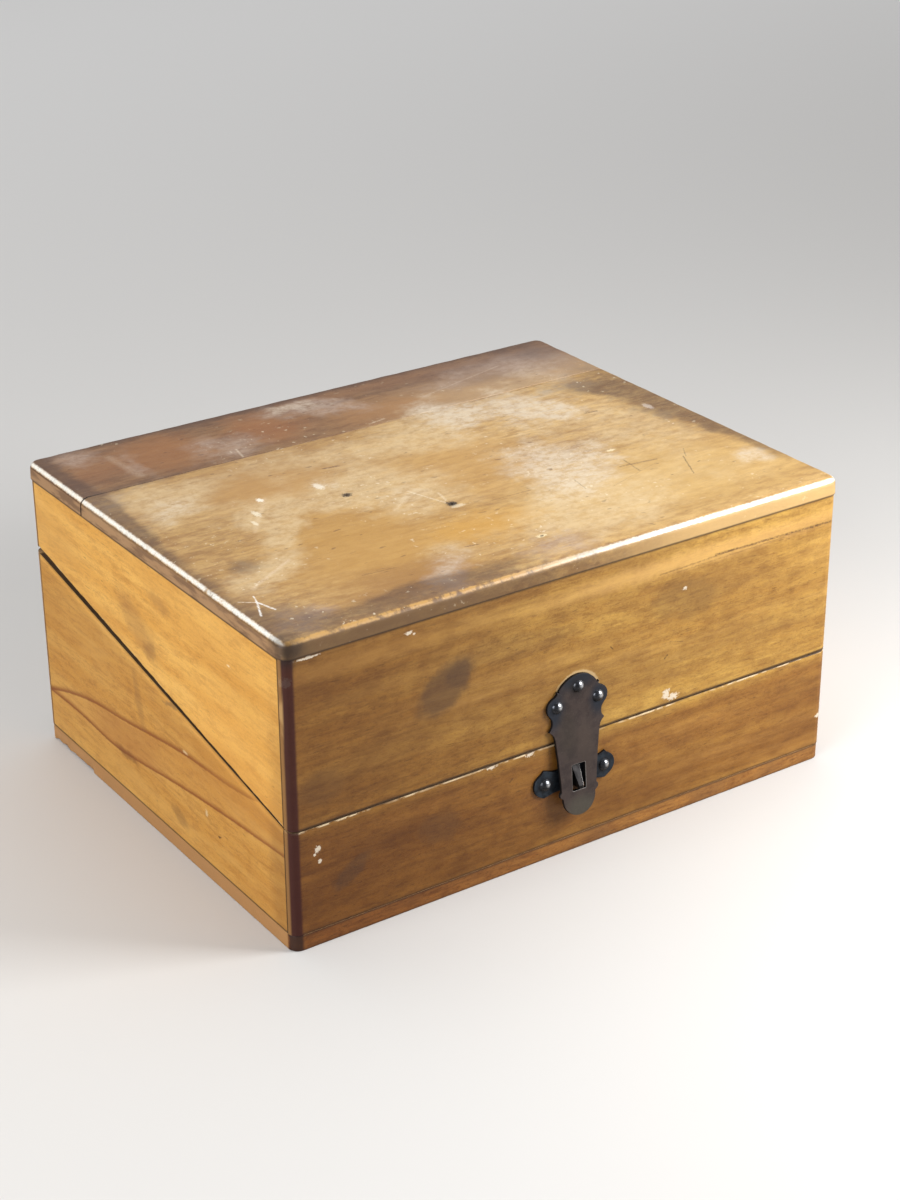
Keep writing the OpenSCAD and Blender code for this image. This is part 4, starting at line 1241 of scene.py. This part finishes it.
def top_edges(finish):
    """The dark foot of the planks' edges, partly dirt and partly painted shade under the overhang; the greyed
    left edge; the front edge, painted lighter to the right and darker to the left as painted light and shade;
    and the rubbed arris over it, worn wood with a painted highlight.
    """
    left_side = finish.both(finish.near("X", -119.8, -121.2), finish.near("Z", 118.0, 117.0))
    finish.coat(left_side, paint(182, 142, 102), 0.8)
    finish.coat(
        finish.both(left_side, finish.clouds((300, 60, 300), 0.46, 0.6, 6.0)), paint(104, 74, 52), 0.65
    )
    # The front edge is lighter towards the right and darker towards the left: painted light and shade from
    # the lamp on the right.
    front_side = finish.both(finish.near("Y", -93.6, -95.2), finish.near("Z", 119.0, 117.6))
    finish.coat(finish.both(front_side, finish.near("X", -10, 60)), paint(224, 184, 122), 0.7)
    finish.coat(finish.both(front_side, finish.near("X", 0, -80)), paint(112, 84, 54), 0.75)
    finish.coat(finish.both(front_side, finish.near("X", -106, -118)), paint(60, 42, 30), 0.6)
    # The dark foot under the planks: partly dirt, partly painted shade under the overhang.
    finish.coat(finish.near("Z", 113.8, 113.1), GAP_SHADE_AND_DIRT, 0.85)
    far_out = fade(finish.tree, sums(finish.tree, "ABSOLUTE", finish.along("X")), 0.1192, 0.1202)
    front_out = fade(finish.tree, sums(finish.tree, "ABSOLUTE", finish.along("Y")), 0.0932, 0.0942)
    outermost = sums(finish.tree, "MAXIMUM", far_out, front_out)
    nibbled = put(finish.tree, "SeparateXYZ", {0: finish.wavy}).outputs["Z"]
    band = finish.both(
        outermost, fade(finish.tree, nibbled, 0.1178, 0.1186), fade(finish.tree, nibbled, 0.1197, 0.1193)
    )
    scuffed = finish.clouds((260, 260, 160), 0.40, 0.56, 8.0)
    finish.coat(finish.both(band, scuffed), paint(206, 160, 92), 0.8, 0.3)
    # The near-white arris line, strongest along the right half and at the left end: worn wood with a painted
    # highlight.
    brightened = sums(finish.tree, "MAXIMUM", finish.near("X", -40, 50), finish.near("X", -119.0, -120.5))
    core = finish.both(fade(finish.tree, nibbled, 0.1180, 0.1188), fade(finish.tree, nibbled, 0.1198, 0.1193))
    unbroken = finish.both(
        finish.clouds((120, 120, 60), 0.24, 0.38, 7.0), fade(finish.tree, finish.gritty, 0.16, -0.06, 0.7)
    )
    finish.coat(finish.both(outermost, core, brightened, unbroken), paint(255, 252, 242), 0.95, 0.2)
    split_end = finish.blot((-122, 49.0, 116), (12, 0.45, 9), 0.3, place=finish.wavy, fray=0.3)
    finish.coat(split_end, paint(34, 22, 14), 0.9)
    finish.coat(finish.blot((-120.5, -94.5, 117), (6, 6, 3.4), 0.6), paint(44, 30, 22), 0.7)


front_top = top_finish("front plank, polished", paint(208, 170, 108), paint(184, 144, 84), (30, 15, 0))
for spot, half, angle, colour, strength in (
    ((-56, -48), (32, 38), 0, paint(190, 142, 66), 0.75),
    ((-60, -78), (28, 12), 0, paint(150, 104, 50), 0.65),
    ((-12, -56), (18, 14), 0, paint(204, 150, 56), 0.7),
    ((12, -4), (28, 30), 0, paint(198, 152, 84), 0.6),
    ((-60, 26), (46, 20), 0, paint(178, 136, 82), 0.6),
    ((-60, 18), (20, 12), 0, paint(190, 142, 76), 0.5),
    ((70, -60), (60, 30), 0, paint(210, 172, 104), 0.6),
):
    gold = front_top.blot((*spot, 120), (*half, 60), 0.7, (0, 0, angle), front_top.torn, 1.2)
    front_top.coat(gold, colour, strength)
top_blooms_and_sheen(front_top)
for start, end, width, colour, strength in (
    ((-122, 48.9), (-92, 48.7), 0.55, paint(66, 40, 24), 0.8),
    ((-92, 48.7), (-20, 48.9), 0.45, paint(66, 40, 24), 0.6),
    ((-20, 48.9), (14, 48.9), 0.4, paint(90, 60, 40), 0.4),
    ((-33, 22.2), (-27, 21.4), 1.0, paint(92, 52, 30), 0.8),
    ((83, 11.4), (88, 10.6), 1.0, paint(84, 54, 36), 0.8),
    ((2, -39.0), (19, -39.2), 0.5, paint(110, 74, 40), 0.6),
    ((-72, -66.4), (-59, -67.6), 0.4, paint(90, 56, 28), 0.6),
    ((-29.5, -67.2), (-25, -68.0), 0.8, paint(96, 58, 30), 0.7),
    ((60, -40.5), (76, -42.5), 0.8, paint(92, 64, 44), 0.6),
    ((65, -36), (63.5, -48), 0.6, paint(74, 52, 38), 0.5),
    ((86, -46), (78.5, -61.5), 0.45, paint(60, 40, 28), 0.75),
    ((91, -40), (87, -46.5), 0.35, paint(60, 40, 28), 0.6),
    ((38, -41), (36.4, -50), 0.4, paint(80, 58, 44), 0.5),
    ((46, -54), (74, -45), 0.35, paint(150, 118, 84), 0.5),
    ((-13.5, -31), (-19, -14), 0.8, paint(244, 228, 196), 0.5),
    ((-12, -29), (-10.6, -22), 0.9, paint(244, 228, 196), 0.4),
    ((-22, -18), (-32, -26), 2.0, paint(240, 220, 184), 0.4),
    ((-84, -14), (-66, 10), 1.6, paint(236, 212, 176), 0.3),
    ((-86, -41), (-108, -54), 1.4, paint(236, 214, 184), 0.4),
    ((-110.9, -59.4), (-112.4, -65.0), 0.5, paint(250, 246, 238), 0.9),
    ((-112.2, -64.0), (-116.4, -74.0), 0.6, paint(250, 246, 238), 1.0),
    ((-112.4, -63.6), (-110.0, -72.2), 0.75, paint(250, 246, 238), 1.0),
    ((-117.4, -60.4), (-112.4, -64.2), 0.45, paint(240, 226, 208), 0.8),
):
    front_top.coat(front_top.stroke((*start, 120), (*end, 120), width), colour, strength)
for spot, half, colour, strength in (
    ((-39.3, -4.2), (1.9, 1.5), paint(40, 24, 14), 0.9),
    ((-12.2, -33.2), (1.9, 2.2), paint(34, 22, 14), 0.95),
    ((-11.2, -35.9), (3.0, 1.3), paint(240, 226, 196), 0.5),
    ((-68, 10), (1.2, 1.8), paint(250, 240, 220), 0.9),
    ((-75.3, 0), (1.2, 2.6), paint(246, 234, 206), 0.7),
    ((-43.6, 8.6), (1.6, 3.0), paint(244, 234, 214), 0.7),
    ((-80, -7), (0.8, 2.2), paint(244, 230, 200), 0.7),
    ((67, -25.5), (2.0, 0.9), paint(246, 230, 190), 0.7),
    ((-2.3, -75), (1.9, 1.1), paint(246, 232, 190), 0.7),
    ((-2.3, -75), (0.8, 0.5), paint(80, 50, 30), 0.9),
    ((108, 3), (1.4, 3.2), paint(216, 202, 190), 0.5),
):
    front_top.coat(
        front_top.blot((*spot, 120), (*half, 60), 0.35, place=front_top.wavy, grit=2.4), colour, strength, 0.6
    )
top_edges(front_top)

rear_top = top_finish("rear plank, polished", paint(146, 108, 70), paint(122, 88, 58), (250, -60, 8))
rear_top.coat(
    rear_top.both(rear_top.near("X", 0, 60), rear_top.near("Y", 84, 60)), paint(192, 156, 112), 0.7
)
for spot, half, colour, strength in (
    ((-74, 71), (18, 15), paint(154, 100, 50), 0.7),
    ((-104, 72), (12, 13), paint(146, 96, 54), 0.6),
    ((-30, 72), (14, 15), paint(154, 98, 50), 0.7),
    ((18, 60), (22, 12), paint(166, 118, 68), 0.6),
    ((92, 76), (40, 16), paint(130, 104, 88), 0.6),
    ((20, 88), (46, 7), paint(136, 94, 62), 0.5),
):
    russet = rear_top.blot((*spot, 120), (*half, 60), 0.7, (0, 0, 0), rear_top.torn, 1.2)
    rear_top.coat(russet, colour, strength)
top_blooms_and_sheen(rear_top)
for start, end, width, colour, strength in (
    ((-122, 49.1), (-92, 49.3), 0.5, paint(66, 40, 24), 0.7),
    ((-92, 49.3), (-20, 49.1), 0.4, paint(66, 40, 24), 0.5),
    ((-94.4, 79), (-92.8, 56), 3.2, paint(196, 172, 148), 0.35),
    ((-52, 50), (-50.5, 58), 0.8, paint(232, 214, 188), 0.5),
    ((6, 51), (14, 52.5), 0.8, paint(226, 204, 176), 0.6),
    ((40, 64), (86, 76), 0.7, paint(206, 182, 160), 0.35),
):
    rear_top.coat(rear_top.stroke((*start, 120), (*end, 120), width), colour, strength)
top_edges(rear_top)

bare_top_finish = WoodFinish("planks, bare underside", BARE_LIGHT, BARE_DARK, (130, 0, 0), rough=0.72)
bare_top_finish.coat(bare_top_finish.clouds(22, 0.5, 0.75), paint(140, 106, 72), 0.4)
bare_top_wood = bare_top_finish.close(0.45, 0.0002)

front_plank = plank("top_front_plank", -95.6, 48.93, -1)
rear_plank = plank("top_rear_plank", 49.07, 95.6, 1)
for split_plank in (front_plank, rear_plank):
    split = block("split", (-124, 48.6, 112), (-116, 49.7, 121))
    choose("VERT", lambda vertex: vertex.co.x > -0.117)
    bpy.ops.mesh.merge(type="CENTER")
    choose("VERT", lambda vertex: vertex.co.z < 0.113 and vertex.co.x < -0.12)
    bpy.ops.transform.resize(value=(1, 0.3, 1), center_override=mm(-124, 49.0, 112))
    bpy.ops.mesh.select_all(action="SELECT")
    bpy.ops.mesh.normals_make_consistent(inside=False)
    bpy.ops.object.mode_set(mode="OBJECT")
    carve(split_plank, split)
for pit_x, pit_y, pit_radius in ((-39.3, -4.2, 0.8), (-12.2, -33.2, 0.9)):
    bpy.ops.mesh.primitive_cone_add(
        vertices=9, radius1=0.0002, radius2=pit_radius * 0.0014, depth=0.004,
        location=mm(pit_x, pit_y, 120.2),
    )
    carve(front_plank, bpy.context.object)
for top_plank, top_node, top_wood in (
    (front_plank, "lid_top_front_plank", front_top.close(0.2, 0.00015)),
    (rear_plank, "lid_top_rear_plank", rear_top.close(0.2, 0.00015)),
):
    cover(
        top_plank,
        [top_wood, bare_top_wood],
        [lambda face: middle(face).z < 113.05 and abs(middle(face).x) < 120 and abs(middle(face).y) < 94],
    )
    smooth(top_plank)
    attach(top_plank, "lid")
    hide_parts(top_node)


# Two small brass butt hinges, each with a leaf screwed to the body's rim, a leaf screwed to the lid's
# rim, and a pin. The leaves are cast from the frame's own shapes with their edges eased.
def eased_copy(node, name, radius):
    """A merged copy of a frame piece with softened edges, left in object mode."""
    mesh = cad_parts[node].data.copy()
    mesh.materials.clear()
    piece = bpy.data.objects.new(name, mesh)
    bpy.context.scene.collection.objects.link(piece)
    pick_up(piece)
    bpy.ops.object.mode_set(mode="EDIT")
    bpy.ops.mesh.select_all(action="SELECT")
    bpy.ops.mesh.remove_doubles(threshold=0.000004)
    bpy.ops.mesh.dissolve_limited(angle_limit=radians(0.5))
    ease(piece, radius, 2, 50)
    return piece


brass = MetalFinish(
    "hinge brass, dulled", paint(186, 148, 82), paint(134, 98, 54), paint(92, 66, 40), 260, 0.36
).close(0.25, 0.00005, metallic=1.0)
for leaf_node, leaf_body in (
    ("body_hinge_leaf_left", "case_body"),
    ("body_hinge_leaf_right", "case_body"),
    ("lid_hinge_leaf_left", "lid"),
    ("lid_hinge_leaf_right", "lid"),
):
    leaf = eased_copy(leaf_node, leaf_node.replace("hinge_leaf", "hinge_plate"), 0.12)
    cover(leaf, [brass])
    smooth(leaf, 32)
    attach(leaf, leaf_body)
    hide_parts(leaf_node)

pin_steel = MetalFinish(
    "hinge pin steel", paint(150, 146, 138), paint(112, 96, 76), paint(70, 58, 46), 500, 0.4
).close(0.2, 0.00004, metallic=0.9)
for pin_side, pin_x in zip(("left", "right"), HINGES_X):
    pin = rod(1, 38, (pin_x, PIN_Y, PIN_Z), (0, 90, 0), 28)
    pin.name = pin.data.name = "hinge_pin_steel_" + pin_side
    bpy.ops.object.transform_apply()
    bpy.ops.object.mode_set(mode="EDIT")
    round_edges(lambda edge: not runs(edge, 0), 0.35, 3)
    cover(pin, [pin_steel])
    smooth(pin, 40)
    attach(pin, "case_body")
    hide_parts("hinge_pin_" + pin_side)


def slotted_screw():
    """A countersunk brass screw at the origin, its head upwards and level with height 0."""
    piece = rod(1.7, 0.165, (0, 0, -0.0825), sides=28)
    bpy.ops.object.transform_apply()
    bpy.ops.object.mode_set(mode="EDIT")
    choose("FACE", lambda face: face.normal.z < -0.9)
    bpy.ops.mesh.extrude_region_move(TRANSFORM_OT_translate={"value": mm(0, 0, -0.935)})
    bpy.ops.transform.resize(value=(0.53, 0.53, 1), center_override=mm(0, 0, -1.1))
    bpy.ops.mesh.extrude_region_move(TRANSFORM_OT_translate={"value": mm(0, 0, -5.4)})
    bpy.ops.mesh.extrude_region_move(TRANSFORM_OT_translate={"value": mm(0, 0, -1.5)})
    bpy.ops.mesh.merge(type="CENTER")
    carve(piece, cutter_block((-3, -0.24, -0.55), (3, 0.24, 1)))
    return piece


def screw_set(name, rise, slope, flip):
    """Six screws along the two leaves of one rim, each with its slot turned its own way.

    They are set level about a pin, at that rise over it, and then tilted to the slope of the rim.
    """
    screws = []
    for number in range(6):
        screw = slotted_screw()
        pick_up(screw)
        screw.rotation_euler = (pi if flip else 0.0, 0.0, radians(17 + 53 * number))
        bpy.ops.object.transform_apply()
        screw.location = mm(number % 3 * 13 - 13, -4.1, rise)
        bpy.ops.object.transform_apply()
        screw.rotation_euler = (slope, 0.0, 0.0)
        screw.location = mm(HINGES_X[number // 3], PIN_Y, PIN_Z)
        bpy.ops.object.transform_apply()
        screws.append(screw)
    return join(name, screws)


screw_brass = MetalFinish(
    "screw brass", paint(176, 140, 80), paint(112, 82, 48), paint(70, 50, 32), 420, 0.4
).close(0.2, 0.00005, metallic=1.0)
for screws, screws_body, screws_node in (
    (screw_set("body_leaf_screws", -0.468, BODY_SLOPE, False), "case_body", "body_hinge_screws"),
    (screw_set("lid_leaf_screws", 0.0674, LID_SLOPE, True), "lid", "lid_hinge_screws"),
):
    cover(screws, [screw_brass])
    smooth(screws, 30)
    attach(screws, screws_body)
    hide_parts(screws_node)


# The catch plate: a stamped, blued steel plate with a lobed end at each side. Its nib is struck up
# from the plate and stands in the hasp's slot, a ramp that ends square below.
HASP_X = -1.6


def bend_round(centre, radius, start, end, steps=12):
    """Points of an arc from one angle to another, in degrees."""
    return [
        (
            centre[0] + radius * cos(radians(start + (end - start) * step / steps)),
            centre[1] + radius * sin(radians(start + (end - start) * step / steps)),
        )
        for step in range(steps + 1)
    ]


def stamp(name, right_half, thickness):
    """A plate traced point by point round both halves of its outline, then raised to its thickness.

    The outline lies on the front face of the case, in millimetres from the middle line and the ground.
    """
    outline = right_half + [(-x, z) for x, z in reversed(right_half)]
    clear_bench()
    bpy.ops.mesh.primitive_plane_add(size=0.001, location=mm(HASP_X + outline[0][0], -95, outline[0][1]))
    piece = bpy.context.object
    piece.name = piece.data.name = name
    bpy.ops.object.transform_apply()
    bpy.ops.object.mode_set(mode="EDIT")
    bpy.ops.mesh.select_mode(type="VERT")
    bpy.ops.mesh.select_all(action="SELECT")
    bpy.ops.mesh.merge(type="CENTER")
    for (old_x, old_z), (new_x, new_z) in zip(outline, outline[1:]):
        step = mm(new_x - old_x, 0, new_z - old_z)
        bpy.ops.mesh.extrude_region_move(TRANSFORM_OT_translate={"value": step})
    bpy.ops.mesh.select_all(action="SELECT")
    bpy.ops.mesh.remove_doubles(threshold=0.00001)
    bpy.ops.mesh.edge_face_add()
    bpy.ops.mesh.extrude_region_move(TRANSFORM_OT_translate={"value": mm(0, -thickness, 0)})
    bpy.ops.mesh.select_all(action="SELECT")
    bpy.ops.mesh.normals_make_consistent(inside=False)
    return piece


blued = MetalFinish(
    "catch plate, blued steel", paint(62, 72, 84), paint(38, 42, 48), paint(28, 28, 32), 330, 0.36
)
blued.coat(blued.blot((HASP_X - 13.3, -96, 32.3), (3.0, 9, 3.0), 0.3), paint(44, 42, 44), 0.6)
blued.coat(blued.blot((HASP_X + 13.3, -96, 32.3), (3.0, 9, 3.0), 0.3), paint(44, 42, 44), 0.6)
blued_plate = blued.close(0.25, 0.00006, metallic=0.85)
cut_edge = MetalFinish(
    "stamped edge, blackened", paint(34, 32, 32), paint(22, 20, 20), paint(60, 52, 46), 500, 0.5
).close(0.2, 0.00005, metallic=0.7)
# Bright steel for the slot's rims and the nib's right-hand faces: partly wear, partly a painted glint where
# those faces meet the light.
worn_and_glinting_steel = MetalFinish(
    "steel rubbed bright, glinting", paint(170, 166, 164), paint(120, 112, 106), paint(70, 62, 56), 600, 0.34
).close(0.2, 0.00004, metallic=0.9)
nib_steel = MetalFinish(
    "nib, darkened steel", paint(44, 42, 42), paint(24, 22, 22), paint(80, 76, 72), 500, 0.4
).close(0.2, 0.00004, metallic=0.8)

catch = stamp(
    "catch_plate_stamped",
    [(0, 36.7), (9.5, 36.7), (13.8, 38.2)]
    + bend_round((13.3, 32.3), 4.9, 70, -64)
    + [(13.8, 26.9), (9.5, 27.9), (0, 27.9)],
    1.0,
)
choose("EDGE", lambda edge: all(v.co.y < -0.09599 for v in edge.verts))
bpy.ops.mesh.bevel(offset=0.0002, segments=2, affect="EDGES")
bpy.ops.object.mode_set(mode="OBJECT")
nib = block("nib", (HASP_X - 1.8, -100.28, 28.56), (HASP_X + 1.8, -95.2, 37.2))
saw(mm(0, -96, 37.2), Vector((0, -7.44, 4.28)).normalized())
for flank in (-1, 1):
    saw(mm(HASP_X + flank * 1.8, 0, 37.2), Vector((flank * 8.64, 0, -0.9)).normalized())
round_edges(lambda edge: middle(edge).y < -96.5, 0.18, 2)
bpy.ops.object.mode_set(mode="OBJECT")
carve(catch, nib, "UNION")
# The nib's small right-hand faces get the bright steel: a painted glint.
cover(
    catch,
    [blued_plate, cut_edge, nib_steel, worn_and_glinting_steel],
    [
        lambda face: abs(face.normal.y) < 0.3,
        lambda face: middle(face).y < -96.02,
        lambda face: middle(face).y < -96.02 and face.calc_area() < 2.5e-6 and face.normal.x > 0.05,
    ],
)
smooth(catch, 40)
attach(catch, "case_body")
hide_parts("catch_plate")


# The domed nails that hold the catch plate: shiny blackened heads on thin shanks, driven into the
# body's front board. The same nail, made once, holds the hasp further on.
def domed_nail(name, x, z, seat_y):
    """A nail whose dome stands out from a seat on the front of the case."""
    clear_bench()
    bpy.ops.mesh.primitive_uv_sphere_add(
        segments=32, ring_count=24, radius=0.00261, location=mm(x, seat_y + 1.1, z),
        rotation=(radians(90), 0, 0),
    )
    piece = bpy.context.object
    piece.name = piece.data.name = name
    bpy.ops.object.transform_apply()
    bpy.ops.object.mode_set(mode="EDIT")
    saw(mm(0, seat_y, 0), (0, 1, 0))
    bpy.ops.mesh.inset(thickness=0.00165)
    bpy.ops.mesh.extrude_region_move(TRANSFORM_OT_translate={"value": mm(0, 4.0, 0)})
    bpy.ops.mesh.extrude_region_move(TRANSFORM_OT_translate={"value": mm(0, 1.5, 0)})
    bpy.ops.mesh.merge(type="CENTER")
    smooth(piece, 45)
    return piece


nail_skin = MetalFinish(
    "nail heads, blackened", paint(62, 65, 72), paint(26, 24, 26), paint(96, 86, 76), 420, 0.2
)
# A pale spot at the upper right of each dome: a painted highlight.
for nail_x, nail_z in ((-13.3, 32.3), (13.3, 32.3), (-8.6, 62.5), (9.6, 62.1), (0.7, 68.7)):
    painted_highlight_spot = nail_skin.blot((HASP_X + nail_x + 0.75, -97.2, nail_z + 0.8), (1.0, 4, 1.1), 0.6)
    nail_skin.coat(painted_highlight_spot, paint(206, 208, 212), 0.8)
nail_black = nail_skin.close(0.08, 0.00004, metallic=0.75, specular_ior_level=1.0)
catch_nail = domed_nail("catch_nail", HASP_X - 13.3, 32.3, -96)
catch_domes = join(
    "catch_dome_nails", [catch_nail, copy_of(catch_nail, "catch_nail_right", (26.6, 0, 0))]
)
cover(catch_domes, [nail_black])
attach(catch_domes, "case_body")
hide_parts("catch_nails")


# The hasp: one strap of spring steel stamped with a lobed head, cusps, a waist and a round end. It is
# flat against the lid, bends where it leaves it, and springs outwards below, with a slot for the nib.
BEND_Z = 56
strap_brown = MetalFinish(
    "hasp, browned steel", paint(86, 75, 72), paint(68, 59, 58), paint(104, 96, 90), 240, 0.46
)
for spot, half, colour, strength in (
    ((HASP_X, -96.2, 73.0), (9.0, 9, 5.0), paint(48, 54, 64), 0.9),
    ((HASP_X - 10.4, -96.2, 61.5), (4.4, 9, 7.0), paint(50, 57, 68), 0.9),
    ((HASP_X + 10.4, -96.2, 61.5), (4.0, 9, 6.0), paint(50, 57, 68), 0.9),
    ((HASP_X, -96.2, 68.6), (3.2, 9, 3.2), paint(50, 47, 47), 0.6),
    ((HASP_X, -100, 20.5), (6.5, 12, 4.6), paint(98, 94, 84), 0.7),
    ((HASP_X + 3.5, -98, 45), (4, 12, 9), paint(94, 82, 74), 0.45),
    ((HASP_X - 4, -98, 50), (4, 12, 9), paint(74, 68, 60), 0.4),
):
    strap_brown.coat(strap_brown.blot(spot, half, 0.55), colour, strength)
strap_flat = strap_brown.close(0.25, 0.00006, metallic=0.75)

lobe_z = BEND_Z + 7.6
strap = stamp(
    "hasp_strap",
    bend_round((0, lobe_z), 9.8, 90, 30, 14)
    + [(8.35, lobe_z + 4.3), (9.45, lobe_z + 4.8), (9.25, lobe_z + 3.8)]
    + bend_round((9.15, BEND_Z + 6.3), 4.35, 75, -48, 14)
    + [(11.1, BEND_Z + 1.6), (10.9, BEND_Z), (11.2, BEND_Z - 1.4), (12.3, BEND_Z - 2.9)]
    + [(11.2, BEND_Z - 3.8), (10.4, BEND_Z - 5), (9.9, BEND_Z - 6.6), (9.0, BEND_Z - 14)]
    + [(8.3, BEND_Z - 21.5), (7.9, BEND_Z - 26.7)]
    + bend_round((7.2, BEND_Z - 28.8), 1.45, 62, -52, 8)
    + bend_round((0, BEND_Z - 31.1), 7.2, 4, -90, 14),
    1.2,
)
slot_cutter = block("slot", (HASP_X - 3, -99, BEND_Z - 28.4), (HASP_X + 3, -93, BEND_Z - 18.1))
round_edges(lambda edge: runs(edge, 1), 0.4, 3)
carve(strap, slot_cutter)
bpy.context.view_layer.objects.active = strap
bpy.ops.object.mode_set(mode="EDIT")
choose(
    "EDGE",
    lambda edge: all(v.co.y < -0.09619 for v in edge.verts)
    and any(abs(face.normal.y) < 0.3 for face in edge.link_faces),
)
bpy.ops.mesh.bevel(offset=0.00022, segments=2, affect="EDGES")
score(2, BEND_Z - 5, BEND_Z + 5, 0.5)
score(2, BEND_Z - 34, BEND_Z - 6, 4)
for turned_below in (BEND_Z + 0.75, BEND_Z - 0.25, BEND_Z - 1.25):
    choose("VERT", lambda vertex: vertex.co.z * 1000 < turned_below)
    bpy.ops.transform.rotate(
        value=radians(2), orient_axis="X", center_override=mm(0, -96.2, turned_below)
    )
choose("VERT", lambda vertex: vertex.co.z * 1000 < BEND_Z - 31)
bpy.ops.transform.rotate(value=radians(3), orient_axis="X", center_override=mm(0, -99, BEND_Z - 31))


def slot_side(face):
    """Whether a face is a rim of the slot."""
    at = middle(face)
    return abs(at.x - HASP_X) < 3.3 and 27 < at.z < 38.5 and abs(face.normal.y) < 0.96


def lean(piece):
    """Turns a piece of the hasp a little to the right about the nib, as the real one sits."""
    pick_up(piece)
    piece.rotation_euler = (0, radians(1.1), 0)
    pivot = mm(HASP_X, 0, 32)
    piece.location = pivot - piece.rotation_euler.to_matrix() @ pivot
    bpy.ops.object.transform_apply()


lean(strap)
cover(
    strap,
    [strap_flat, cut_edge, worn_and_glinting_steel],
    [
        lambda face: abs(face.normal.y) < 0.35 or face.normal.y > 0.5,
        lambda face: slot_side(face) and face.normal.y < -0.2,
    ],
)
smooth(strap, 40)
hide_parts("hasp_plate", "hasp_tongue")
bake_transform(strap)

first_hasp_nail = domed_nail("hasp_nail", HASP_X - 9.15, BEND_Z + 6.3, -96.2)
hasp_domes = join(
    "hasp_dome_nails",
    [
        first_hasp_nail,
        copy_of(first_hasp_nail, "hasp_nail_right", (18.3, 0, 0)),
        copy_of(first_hasp_nail, "hasp_nail_top", (9.15, 0, 6.3)),
    ],
)
lean(hasp_domes)
cover(hasp_domes, [nail_black])
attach(hasp_domes, "lid")
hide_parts("hasp_nails")
